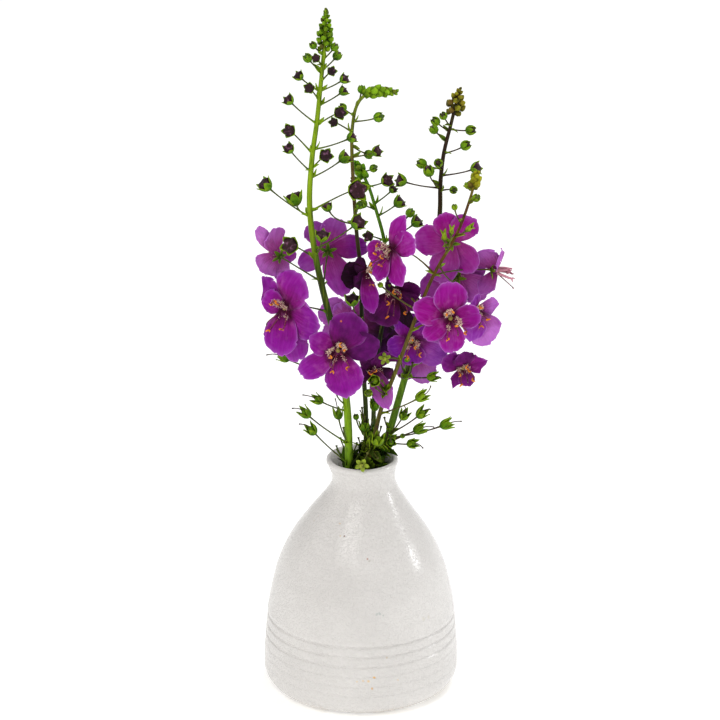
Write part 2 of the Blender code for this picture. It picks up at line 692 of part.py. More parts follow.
def petal_half_width(share):
    """Half width of a petal at a share of its length, as a share of the flower's radius."""
    for (low, narrow), (high, wide) in zip(PETAL_WIDTHS, PETAL_WIDTHS[1:]):
        if share <= high:
            return narrow + (wide - narrow) * (share - low) / (high - low)
    return PETAL_WIDTHS[-1][1]


def petal_point(share, across, petal, sectors, radius, cup):
    """A point of a petal that lies along +X, between its neighbours' sectors on either side."""
    _, reach, own_cup = petal
    sector = math.tan(sectors[0] if across > 0.0 else sectors[1])
    free = max(share - PETAL_CLAW, 0.0)
    length = min(share, PETAL_CLAW) + (free - 0.14 * share**3 * across**2) * reach
    half = sector * share
    if free > 0.0:
        half = min(petal_half_width(share), PETAL_SECTOR_SHARE * length * sector)
    rise = min(share, PETAL_CLAW) * math.tan(math.radians(cup))
    rise += free * reach * math.tan(math.radians(own_cup)) * (1.15 - 0.4 * share)
    twist = half * across * math.sin(PETAL_TWIST) * min(free * 3.0, 1.0)
    wave = PETAL_WAVE * free * (across**2 - 0.4) * math.cos(5.0 * reach + own_cup)
    return Vector((length, half * across, rise + twist + wave)) * radius


def bloom_frame(look):
    """The three axes of a flower: to the right across its face, up it and the way that it faces."""
    face = facing(*look)
    level = Vector((0.0, 0.0, 1.0)).cross(face).normalized()
    return level, face.cross(level), face


def make_corolla(name, home, finish):
    """The five petals of an open flower, joined in the middle, as one thin solid."""
    _, _, reading, look, radius, cup, petals = BLOOMS[name]
    middle = sighted(*reading)
    level, upright, face = bloom_frame(look)
    lift = (SEAT_GAP + 0.5 * PETAL_THICKNESS) * MM
    bm = bmesh.new()
    for petal, after, before in zip(petals, petals[1:] + petals[:1], petals[-1:] + petals[:-1]):
        sectors = [math.radians(gap % 360.0) / 2.0 for gap in (after[0] - petal[0], petal[0] - before[0])]
        angle = math.radians(petal[0])
        rows, columns = len(PETAL_ROWS) - 1, len(PETAL_COLUMNS) - 1
        grid = bmesh.ops.create_grid(bm, x_segments=rows, y_segments=columns, size=0.5)
        for corner in grid["verts"]:
            share = PETAL_ROWS[round((corner.co.x + 0.5) * rows)]
            across = PETAL_COLUMNS[round((corner.co.y + 0.5) * columns)]
            flat = petal_point(share, across, petal, sectors, radius * MM, cup)
            along = flat.x * math.cos(angle) - flat.y * math.sin(angle)
            beside = flat.x * math.sin(angle) + flat.y * math.cos(angle)
            corner.co = middle + level * along + upright * beside + face * (flat.z + lift)
    bmesh.ops.remove_doubles(bm, verts=bm.verts, dist=0.00002)
    bmesh.ops.triangulate(bm, faces=[side for side in bm.faces if len(side.verts) > 3])
    corolla = add_mesh(f"{name}_petals", bm, home, finish)
    thicken = corolla.modifiers.new("Thickness", "SOLIDIFY")
    thicken.thickness = PETAL_THICKNESS * MM
    thicken.offset = 0.0
    thicken.use_even_offset = False
    return corolla


def make_stamens(name, home, finish):
    """Five stamens on a small disc in the flower's middle, drawn out of it face by face."""
    _, _, reading, look, radius, cup, _ = BLOOMS[name]
    level, upright, face = bloom_frame(look)
    cone = max(math.tan(math.radians(cup)) * STAMEN_DISC_RADIUS, 0.0)
    base = SEAT_GAP + PETAL_THICKNESS + cone + SEAT_GAP
    middle = sighted(*reading) + face * (base + 0.5 * STAMEN_DISC_HEIGHT) * MM
    bm = bmesh.new()
    lower, upper = (
        [
            bm.verts.new(
                middle
                + (level * math.cos(angle) + upright * math.sin(angle)) * STAMEN_DISC_RADIUS * MM
                + face * side * STAMEN_DISC_HEIGHT * MM
            )
            for angle in (math.pi * (corner + 0.5) / PETALS for corner in range(2 * PETALS))
        ]
        for side in (-0.5, 0.5)
    )
    bm.faces.new(list(reversed(lower)))
    bm.faces.new(upper)
    sides = []
    for corner in range(2 * PETALS):
        after = (corner + 1) % (2 * PETALS)
        sides.append(bm.faces.new((lower[corner], lower[after], upper[after], upper[corner])))
    for stamen in range(PETALS):
        angle = math.pi * (2 * stamen + 1) / PETALS
        out = level * math.cos(angle) + upright * math.sin(angle)
        draw_out_filament(bm, sides[2 * stamen], out, face, 0.7 + 0.3 * radius / 14.0)
    return add_mesh(f"{name}_stamens", bm, home, finish)


def draw_out_filament(bm, side, out, face, size):
    """Draws one filament and its anther out of a side of the disc, step by step."""
    for outward, forward, swell in FILAMENT_STEPS:
        drawn = bmesh.ops.extrude_discrete_faces(bm, faces=[side])
        side = drawn["faces"][0]
        move = (out * outward + face * forward) * size * MM
        middle = side.calc_center_median()
        for corner in side.verts:
            corner.co = middle + (corner.co - middle) * swell + move


def main():
    for obj in list(bpy.data.objects):
        bpy.data.objects.remove(obj)
    home = bpy.data.collections.new("mullein_in_vase")
    bpy.context.scene.collection.children.link(home)
    ceramic = material("white_ceramic", (0.86, 0.85, 0.83), 0.45)
    water = material("water", (0.75, 0.85, 0.85), 0.05)
    petal = material("purple_petal", (0.30, 0.02, 0.36), 0.55)
    stamen = material("orange_stamen", (0.72, 0.26, 0.05), 0.6)
    greens = {
        "left_stem": material("light_green_stem", (0.24, 0.40, 0.03)),
        "bent_stem": material("olive_stem", (0.17, 0.20, 0.04)),
        "back_stem": material("green_stem", (0.17, 0.34, 0.04)),
        "right_stem": material("dark_green_stem", (0.12, 0.18, 0.03)),
        "front_stem": material("brown_stem", (0.19, 0.16, 0.04)),
    }
    make_vase(home, ceramic)
    make_water(home, water)
    for name in STEMS:
        make_stem(name, home, greens[name])
    for name in BLOOMS:
        make_corolla(name, home, petal)
        make_stamens(name, home, stamen)


main()
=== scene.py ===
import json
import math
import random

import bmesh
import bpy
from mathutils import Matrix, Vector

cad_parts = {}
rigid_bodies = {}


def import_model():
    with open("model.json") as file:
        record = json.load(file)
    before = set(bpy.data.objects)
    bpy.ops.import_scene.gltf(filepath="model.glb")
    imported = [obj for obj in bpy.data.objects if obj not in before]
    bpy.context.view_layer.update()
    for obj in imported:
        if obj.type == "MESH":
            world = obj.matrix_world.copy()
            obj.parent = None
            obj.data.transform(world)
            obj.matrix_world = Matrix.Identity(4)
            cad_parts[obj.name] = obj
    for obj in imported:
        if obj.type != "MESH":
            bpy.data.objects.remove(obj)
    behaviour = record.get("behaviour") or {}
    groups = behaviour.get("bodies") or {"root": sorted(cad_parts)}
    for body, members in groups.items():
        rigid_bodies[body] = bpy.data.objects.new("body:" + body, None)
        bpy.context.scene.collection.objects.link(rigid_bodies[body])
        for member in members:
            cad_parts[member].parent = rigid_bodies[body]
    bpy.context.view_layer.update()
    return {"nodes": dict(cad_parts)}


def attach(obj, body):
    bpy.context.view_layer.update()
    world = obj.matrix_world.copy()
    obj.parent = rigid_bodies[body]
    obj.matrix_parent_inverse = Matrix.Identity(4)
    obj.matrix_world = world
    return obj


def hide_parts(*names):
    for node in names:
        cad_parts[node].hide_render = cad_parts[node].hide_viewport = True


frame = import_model()

# The looks of a bunch of purple mullein in a small white bottle vase.
#
# Everything is in metres in the frame of the solids: +Z up, the origin at the middle of the vase's
# foot, -Y towards the front. The lists below are in millimetres, and MM turns them into metres. They
# say where a thing is in the front view: right of the vase's axis, up the view and deep behind the
# axis. The lists that place stems, buds and flowers are the solids' own, apart from SMALL_GROWTHS and
# from a few sizes and ways of facing that were read again more closely.

MM = 0.001

# A full turn, the greatest random one, the turn from one bud of a spiral to the next, and up.
FULL_TURN = 2.0 * math.pi
ANY_TURN = 6.28
GOLDEN_ANGLE = math.radians(137.5)
UPWARDS = Vector((0.0, 0.0, 1.0))

# The front view that the spray is read from, which is also the camera's.
VIEW_TILT = math.radians(22.2)
VIEW_DISTANCE = 2400.0
VIEW_MIDDLE_RIGHT = -0.4
VIEW_MIDDLE_UP = 130.2
VIEW_WIDTH = 288.0
VIEW_UP = Vector((0.0, math.sin(VIEW_TILT), math.cos(VIEW_TILT)))
TOWARDS_VIEWER = Vector((0.0, -math.cos(VIEW_TILT), math.sin(VIEW_TILT)))
VIEW_MIDDLE = Vector((VIEW_MIDDLE_RIGHT, 0.0, VIEW_MIDDLE_UP / math.cos(VIEW_TILT)))
EYE = VIEW_MIDDLE + TOWARDS_VIEWER * VIEW_DISTANCE
SENSOR_WIDTH = 36.0

# The vase: radius and height of its outside, from the rim's crest down to the foot. The grooved band
# lies between the shoulder and the heel.
RIM_OUTLINE = ((13.4, 98.6), (14.2, 98.1), (14.5, 97.2), (14.25, 96.3), (13.72, 95.3), (13.56, 94.4))
NECK_OUTLINE = ((13.12, 92.9), (12.75, 91.0), (13.0, 88.0), (14.9, 84.0))
SHOULDER_OUTLINE = ((18.3, 79.0), (22.5, 73.0), (27.2, 66.0), (31.4, 58.0), (34.6, 49.0), (36.8, 39.0))
HEEL_OUTLINE = ((39.2, 7.6), (38.3, 4.8), (36.4, 2.2), (33.4, 0.5), (32.6, 0.0))
BAND_TOP = 33.0
BAND_STEP = 0.25
BAND_ROWS = 101
BAND_RADIUS_TOP = 37.9
BAND_RADIUS_FOOT = 39.25
BAND_DRAWN_IN = 0.05

# The grooves: height of the top one, from one to the next, half their width, how much of that is
# steep, and how deep each is.
GROOVE_TOP = 31.0
GROOVE_PITCH = 4.15
GROOVE_HALF_WIDTH = 0.7
GROOVE_STEEP = 0.62
GROOVE_DEPTHS = (0.5, 0.5, 0.42, 0.24, 0.2, 0.22)

# The vase's inside: its wall, how much of that the shoulder lies lower, the mouth and the bore of the
# neck as (radius, height), the belly as (how many walls thick it is, height), and the floor.
WALL = 2.4
SHOULDER_DROP = 0.6
MOUTH_INSIDE = ((12.9, 98.4), (12.3, 97.8), (10.9, 93.0), (10.9, 88.0))
BELLY_INSIDE = ((1.0, 14.0), (1.8, 7.0))
FLOOR_HEIGHT = 4.0
FLOOR_RADIUS = 31.0

# The vase isn't quite true: how far the neck stands to the right, at which height, and how far that
# reaches up and down, and two waves round it as (size, number, turn for each millimetre of height).
NECK_LEAN = 1.1
NECK_LEAN_HEIGHT = 88.0
NECK_LEAN_REACH = 10.0
UNEVENNESS = ((0.0016, 2.0, 0.05), (0.0012, 3.0, -0.11))

# How many sides the turned vase has, the gap under which its corners are welded, and how far in front
# of its axis a mark on it is first looked for.
VASE_SIDES = 160
WELD_GAP = 0.005
FRONT_OF_VASE = -39.0

# Marks on the glaze: (right, up) in the front view, radius, how strong, and the colour.
GLAZE_MARKS = (
    ((5.4, 3.2), 0.7, 0.8, "e0a838"), ((4.4, -1.4), 0.9, 0.8, "e0a030"), ((3.0, 1.6), 0.7, 0.6, "e8bc60"),
    ((1.0, 1.8), 0.6, 0.5, "e8c070"), ((-1.6, 1.6), 0.6, 0.5, "e8c888"), ((14.8, 2.2), 0.5, 0.35, "e0c078"),
    ((-8.4, 64.8), 0.6, 0.7, "d8a848"), ((-8.2, 59.8), 0.6, 0.5, "e0c088"),
    ((-6.7, 59.8), 0.45, 0.8, "6c4430"), ((2.6, 50.6), 0.5, 0.6, "a8603c"),
    ((3.4, 49.8), 0.7, 0.35, "a09888"), ((6.2, 28.4), 0.7, 0.4, "8c9c98"),
    ((7.6, 28.6), 0.8, 0.4, "8ca09c"), ((9.0, 28.0), 0.5, 0.35, "8c9c98"),
    ((25.0, 26.6), 1.1, 0.25, "c8c0a0"), ((27.0, 27.4), 0.9, 0.25, "c8c0a0"),
    ((10.4, 11.2), 0.5, 0.4, "c0a070"), ((-14.8, 71.6), 0.5, 0.5, "d4b890"),
    ((-16.0, 70.0), 0.45, 0.5, "d4b890"), ((-17.4, 68.0), 0.5, 0.5, "d4b890"),
    ((-19.0, 66.0), 0.5, 0.45, "d4b890"), ((-20.6, 63.8), 0.5, 0.4, "d4b890"),
)

# The height of the stems' cut ends in the vase. How far a flower's petals lie from its middle, and its
# middle from the end of its stalk.
STEM_FOOT_HEIGHT = 4.9
SEAT_GAP = 0.3
SEAT_HEIGHT = 1.6

# Each stem: where its cut end stands in the vase, its guide points as (right, up, depth) in the front
# view from the mouth to the tip, its radius at the foot and under the tip, and its growing end as
# (length along the stem, greatest radius).
STEMS = {
    "left_stem": {
        "foot": (-5.0, -4.0),
        "guide": (
            (-4.8, 88.2, -7.0), (-5.0, 103.0, -9.5), (-6.0, 116.0, -11.5), (-8.6, 134.0, -13.5),
            (-13.1, 149.8, -14.5), (-18.2, 172.2, -15.0), (-20.5, 192.0, -14.0), (-19.6, 210.2, -12.0),
            (-17.6, 225.4, -10.0), (-15.8, 243.2, -8.0), (-14.6, 256.0, -7.0), (-13.9, 270.4, -6.0),
        ),
        "girth": (1.8, 0.7),
        "tip": (17.0, 2.6),
    },
    "bent_stem": {
        "foot": (2.0, -2.0),
        "guide": (
            (1.9, 92.0, 0.0), (1.9, 109.0, -1.0), (1.0, 126.0, -1.5), (0.2, 150.0, -2.0),
            (-0.2, 166.0, -2.0), (-2.0, 183.5, -1.0), (-3.6, 210.6, 2.0), (-3.4, 224.0, 3.0),
            (-1.2, 233.0, 3.0), (4.2, 237.2, 2.5), (14.0, 237.4, 2.0),
        ),
        "girth": (1.1, 0.6),
        "tip": (13.0, 2.0),
    },
    "back_stem": {
        "foot": (2.0, 16.0),
        "guide": (
            (4.8, 92.0, 7.0), (5.2, 114.0, 6.5), (6.8, 134.0, 7.5), (10.0, 152.0, 9.0), (10.8, 164.0, 10.0),
            (9.2, 178.4, 11.0), (5.9, 190.6, 12.0), (2.6, 200.8, 12.0), (-2.4, 209.4, 12.0),
        ),
        "girth": (1.1, 0.6),
        "tip": (8.0, 2.1),
    },
    "right_stem": {
        "foot": (-14.0, 16.0),
        "guide": (
            (8.8, 93.4, 0.0), (12.0, 103.4, 1.0), (16.4, 118.8, 3.0), (20.0, 131.0, 5.0),
            (25.6, 150.2, 9.0), (30.2, 172.0, 12.0), (31.6, 189.8, 12.0), (31.8, 201.0, 12.0),
            (33.1, 212.6, 11.0), (36.0, 224.5, 10.0), (39.4, 238.4, 9.0),
        ),
        "girth": (1.8, 0.6),
        "tip": (11.5, 3.0),
    },
    "front_stem": {
        "foot": (-16.0, 8.0),
        "guide": (
            (4.3, 94.0, -7.0), (8.2, 111.0, -12.0), (15.4, 129.4, -18.0), (21.6, 146.2, -21.0),
            (28.8, 163.6, -21.0), (38.4, 180.7, -19.0), (43.5, 194.2, -17.0), (46.4, 205.0, -15.0),
        ),
        "girth": (1.1, 0.5),
        "tip": (6.5, 1.8),
    },
}

# Each bud or seed pod: kind, height up the view where its stalk leaves the stem, its own place as
# (right, up, depth), its size against the kind's profile, and which way it faces.
BUDS = {
    "left_stem": (
        ("tight", 252.0, -18.2, 255.0, -8.0, 0.75, "out"),
        ("tight", 250.4, -11.6, 254.0, -6.5, 0.8, "out"),
        ("star", 247.6, -17.8, 250.8, -11.0, 0.75, "front"),
        ("tight", 246.0, -10.8, 250.4, -5.0, 0.9, "out"),
        ("tight", 245.0, -20.2, 249.6, -8.0, 0.9, "out"),
        ("star", 241.6, -12.0, 245.6, -11.5, 0.8, "front"),
        ("star", 237.4, -23.6, 242.6, -10.0, 0.9, "out"),
        ("star", 237.8, -8.2, 241.6, -9.5, 0.9, "out"),
        ("star", 234.0, -20.4, 238.8, -14.0, 0.9, "front"),
        ("star", 232.0, -8.6, 236.6, -7.0, 0.9, "out"),
        ("star", 224.6, -27.6, 232.8, -12.0, 0.98, "out"),
        ("star", 224.2, -9.0, 229.0, -14.0, 1.1, "front"),
        ("star", 214.4, -5.6, 218.4, -9.0, 1.0, "out"),
        ("star", 212.6, -28.2, 221.6, -15.0, 1.1, "front"),
        ("star", 206.6, -14.6, 211.8, -16.0, 1.15, "front"),
        ("star", 205.4, -27.8, 213.4, -17.0, 1.0, "out"),
        ("star", 203.0, -8.6, 209.6, -5.0, 1.2, "out"),
        ("star", 189.6, -2.8, 198.0, -14.0, 1.72, "front"),
        ("star", 188.4, -25.6, 191.8, -8.0, 1.5, "up"),
        ("star", 187.2, -36.2, 198.4, -12.0, 1.34, "out"),
        ("star", 174.4, -3.2, 183.6, -20.0, 1.4, "out"),
        ("star", 170.6, -27.4, 176.0, -18.0, 1.48, "front"),
        ("pod", 123.4, -28.6, 130.2, -4.0, 0.9, "out"),
        ("pod", 109.6, -15.6, 113.4, -15.0, 0.9, "out"),
        ("pod", 96.6, -20.6, 107.6, -13.0, 1.0, "out"),
        ("pod", 96.0, -8.8, 106.4, -4.0, 0.9, "up"),
    ),
    "bent_stem": (
        ("tight", 231.6, 0.0, 236.8, 5.0, 0.8, "up"),
        ("tight", 228.0, -6.4, 230.4, 1.0, 0.8, "out"),
        ("tight", 225.6, 5.4, 226.8, 0.0, 1.0, "out"),
        ("star", 221.4, -10.4, 225.2, 1.0, 0.8, "front"),
        ("star", 211.4, 4.6, 213.0, -1.0, 0.98, "out"),
        ("tight", 216.0, 1.4, 213.0, 6.0, 0.9, "out"),
        ("star", 184.6, -12.6, 189.6, 1.0, 0.95, "up"),
        ("star", 146.0, -3.2, 152.0, -8.0, 1.25, "up"),
        ("pod", 96.4, 1.4, 101.8, -5.0, 0.9, "up"),
    ),
    "back_stem": (
        ("tight", 205.4, 4.0, 206.4, 9.0, 0.8, "out"),
        ("tight", 200.6, -1.6, 201.6, 9.0, 0.8, "out"),
        ("star", 199.6, 8.8, 201.2, 8.0, 1.15, "out"),
        ("star", 192.6, 11.6, 197.4, 12.0, 0.8, "out"),
        ("tight", 190.4, 1.8, 192.0, 9.0, 0.9, "out"),
        ("star", 187.8, 13.4, 191.8, 14.0, 1.15, "out"),
        ("star", 178.0, 3.4, 179.8, 6.0, 0.9, "front"),
        ("star", 177.4, 20.4, 184.0, 14.0, 1.15, "out"),
        ("pod", 104.0, 5.4, 110.0, 2.0, 0.9, "up"),
    ),
    "right_stem": (
        ("tight", 223.6, 33.4, 227.0, 6.0, 0.8, "out"),
        ("tight", 221.6, 31.0, 224.6, 9.0, 0.9, "out"),
        ("tight", 222.6, 42.0, 222.0, 8.0, 1.0, "out"),
        ("tight", 217.6, 30.4, 221.0, 12.0, 0.9, "out"),
        ("tight", 212.8, 40.2, 215.2, 9.0, 1.0, "out"),
        ("tight", 206.4, 31.0, 209.0, 7.0, 0.9, "front"),
        ("tight", 206.6, 26.2, 208.0, 12.0, 1.0, "out"),
        ("tight", 199.8, 27.6, 203.8, 8.0, 1.1, "up"),
        ("star", 199.0, 18.2, 201.2, 12.0, 1.15, "out"),
        ("star", 204.0, 44.0, 206.2, 10.0, 1.1, "out"),
        ("tight", 198.0, 36.6, 198.4, 8.0, 0.8, "front"),
        ("pod", 123.6, 26.8, 123.2, -2.0, 0.9, "out"),
        ("pod", 100.4, 22.6, 107.6, -4.0, 1.0, "out"),
        ("pod", 99.0, 31.6, 103.6, 5.0, 1.0, "out"),
        ("pod", 98.6, 21.0, 101.6, 1.0, 1.0, "out"),
        ("pod", 97.4, 18.8, 96.6, -6.0, 0.9, "out"),
    ),
    "front_stem": (
        ("tight", 199.0, 43.2, 198.6, -13.0, 0.7, "up"),
        ("tight", 193.0, 45.4, 194.4, -20.0, 0.8, "out"),
        ("tight", 185.0, 37.6, 190.2, -21.0, 0.6, "up"),
        ("tuft", 174.0, 33.4, 177.8, -24.0, 0.85, "up"),
        ("tuft", 179.4, 42.0, 181.8, -22.0, 0.85, "out"),
        ("pod", 116.0, 5.6, 122.0, -25.0, 1.0, "front"),
        ("open", 130.6, 9.6, 130.8, -27.0, 0.62, "front"),
        ("pod", 108.6, 22.0, 114.4, -12.0, 1.0, "out"),
        ("pod", 97.0, 6.4, 96.4, -13.0, 1.1, "up"),
        ("open", 96.0, 0.4, 88.4, -15.0, 0.72, "front"),
    ),
}

# Small leaves, pods and buds among the stems that only the looks have, told as BUDS tells them.
SMALL_GROWTHS = {
    "left_stem": (
        ("leaf", 92.5, -8.2, 99.0, -3.0, 1.1, "up"),
        ("leaf", 95.0, -7.0, 103.0, -12.0, 0.9, "up"),
        ("leaf", 91.0, -1.6, 97.0, -4.0, 1.0, "up"),
        ("leaf", 112.0, -10.0, 117.0, -14.0, 0.7, "up"),
        ("leaf", 90.0, -9.6, 94.5, -2.0, 0.8, "up"),
        ("leaf", 89.0, -3.0, 94.0, 0.0, 1.2, "up"),
        ("leaf", 88.6, -1.0, 92.0, -6.0, 1.0, "up"),
        ("pod", 88.6, -18.4, 100.8, -13.0, 1.0, "out"),
        ("star", 172.0, -15.8, 177.6, -19.5, 1.2, "up"),
        ("leaf", 89.5, -9.8, 95.8, -3.0, 1.1, "up"),
    ),
    "bent_stem": (
        ("tight", 100.0, -1.8, 106.4, -6.0, 0.6, "up"),
        ("leaf", 99.6, 1.6, 107.4, -5.0, 1.2, "up"),
        ("tight", 189.0, -0.8, 191.4, -5.0, 0.8, "out"),
        ("leaf", 93.0, -1.0, 99.0, 2.0, 1.1, "up"),
        ("leaf", 99.0, 4.4, 106.0, -3.0, 1.1, "up"),
        ("leaf", 104.0, 0.4, 111.0, -5.0, 0.9, "up"),
        ("leaf", 93.0, 3.0, 99.5, -6.0, 1.3, "up"),
        ("leaf", 92.6, 0.6, 97.0, -5.0, 1.2, "up"),
        ("leaf", 92.2, 4.6, 93.0, -4.0, 1.2, "out"),
        ("leaf", 92.2, -0.6, 91.0, 3.0, 1.2, "out"),
        ("pod", 94.0, 3.4, 98.4, -3.0, 0.9, "up"),
    ),
    "back_stem": (
        ("leaf", 97.0, 3.0, 104.0, 4.0, 1.2, "up"),
        ("leaf", 98.0, 8.0, 103.4, 1.0, 0.8, "up"),
        ("tight", 177.0, 18.6, 187.6, 13.0, 0.9, "out"),
        ("leaf", 92.4, 6.0, 97.0, 5.0, 1.2, "up"),
        ("leaf", 93.0, 2.6, 96.0, 6.0, 1.2, "up"),
        ("leaf", 92.4, 8.0, 93.0, 5.0, 1.1, "out"),
    ),
    "right_stem": (
        ("pod", 99.5, 16.4, 106.8, -6.0, 0.95, "out"),
        ("tight", 98.0, 16.2, 99.6, -8.0, 0.5, "out"),
        ("leaf", 102.0, 9.4, 107.0, -4.0, 0.7, "up"),
        ("leaf", 124.0, 16.0, 131.0, -9.0, 1.2, "up"),
        ("leaf", 123.6, 20.6, 129.0, -9.0, 1.1, "up"),
        ("leaf", 122.8, 15.4, 124.0, -9.0, 0.9, "out"),
        ("leaf", 94.0, 12.6, 99.0, -5.0, 1.1, "up"),
        ("leaf", 95.0, 10.6, 101.0, -3.0, 1.1, "up"),
        ("leaf", 97.0, 15.8, 99.4, -2.0, 0.8, "out"),
        ("leaf", 122.0, 19.4, 128.6, -2.0, 0.8, "up"),
        ("leaf", 93.8, 12.8, 94.0, -1.0, 1.2, "out"),
        ("leaf", 94.0, 12.4, 96.6, 3.0, 1.2, "up"),
        ("leaf", 93.6, 6.8, 98.0, -3.0, 1.2, "up"),
        ("pod", 94.4, 11.8, 97.4, -7.0, 0.85, "front"),
        ("tight", 124.0, 18.4, 129.6, -4.0, 0.7, "up"),
    ),
    "front_stem": (
        ("tight", 112.0, 3.2, 117.0, -20.0, 0.8, "front"),
        ("tuft", 172.5, 36.0, 180.0, -25.0, 0.75, "up"),
        ("leaf", 94.6, 8.0, 99.0, -9.0, 1.1, "up"),
        ("leaf", 96.0, 2.6, 93.0, -14.0, 1.0, "out"),
        ("leaf", 94.6, 6.6, 91.0, -10.0, 1.1, "out"),
        ("leaf", 94.4, 2.6, 96.0, -9.0, 1.2, "up"),
        ("leaf", 118.0, 8.4, 122.0, -24.0, 1.0, "front"),
        ("leaf", 117.0, 4.6, 123.4, -25.0, 1.0, "front"),
        ("leaf", 116.4, 6.0, 119.0, -25.0, 0.9, "out"),
        ("tight", 149.8, 8.4, 159.6, -29.0, 0.55, "out"),
    ),
}

# Each open flower: its stem, height up the view where its stalk leaves, its middle as
# (right, up, depth), where it faces as (degrees round from the front, degrees above level), and its
# looks: lightness and redness of the petals from 0 to 1, and how far the stamens reach. The lightness
# also paints light and shade: it is low for flowers that lie in shade and high for backlit ones.
BLOOMS = {
    "bloom_01": ("left_stem", 161.6, (-33.2, 172.2, -6.0), (-140, 8), (0.78, 0.74, 0.8)),
    "bloom_02": ("left_stem", 149.4, (-29.6, 151.0, -19.0), (-48, 4), (0.38, 0.66, 1.45)),
    "bloom_03": ("left_stem", 158.6, (-13.2, 174.2, 5.0), (176, 6), (0.6, 0.62, 0.9)),
    "bloom_04": ("bent_stem", 160.0, (1.6, 166.0, -8.0), (66, -6), (0.05, 0.8, 0.8)),
    "bloom_05": ("front_stem", 164.6, (12.0, 174.2, -25.0), (-52, 8), (0.45, 0.85, 1.5)),
    "bloom_06": ("front_stem", 177.0, (36.0, 177.4, -10.0), (180, 8), (0.52, 0.95, 0.9)),
    "bloom_07": ("front_stem", 164.0, (53.4, 166.2, 0.0), (100, -8), (0.62, 0.74, 1.4)),
    "bloom_08": ("front_stem", 142.0, (35.6, 147.0, -38.0), (10, 14), (0.4, 0.92, 1.3)),
    "bloom_09": ("right_stem", 146.0, (44.6, 149.8, -17.0), (52, 4), (0.68, 0.55, 0.9)),
    "bloom_10": ("right_stem", 134.0, (20.0, 138.2, -4.0), (8, -6), (0.46, 0.42, 0.9)),
    "bloom_11": ("front_stem", 151.0, (13.6, 157.8, -10.0), (-8, -14), (0.04, 0.8, 1.3)),
    "bloom_12": ("left_stem", 124.0, (-9.2, 134.2, -33.0), (-4, 12), (0.4, 0.7, 1.3)),
    "bloom_13": ("bent_stem", 122.0, (4.6, 127.0, -7.5), (18, -20), (0.14, 0.8, 1.15)),
    "bloom_14": ("right_stem", 127.4, (40.4, 127.8, -4.0), (14, -16), (0.22, 0.75, 0.9)),
    "bloom_15": ("right_stem", 136.0, (21.6, 132.2, 19.0), (172, -14), (0.82, 0.45, 0.8)),
    "bloom_16": ("bent_stem", 140.0, (-4.6, 145.6, 14.0), (-168, 4), (0.7, 0.58, 0.8)),
    "bloom_17": ("front_stem", 168.0, (38.6, 163.4, 3.0), (172, 0), (0.62, 0.74, 0.8)),
}
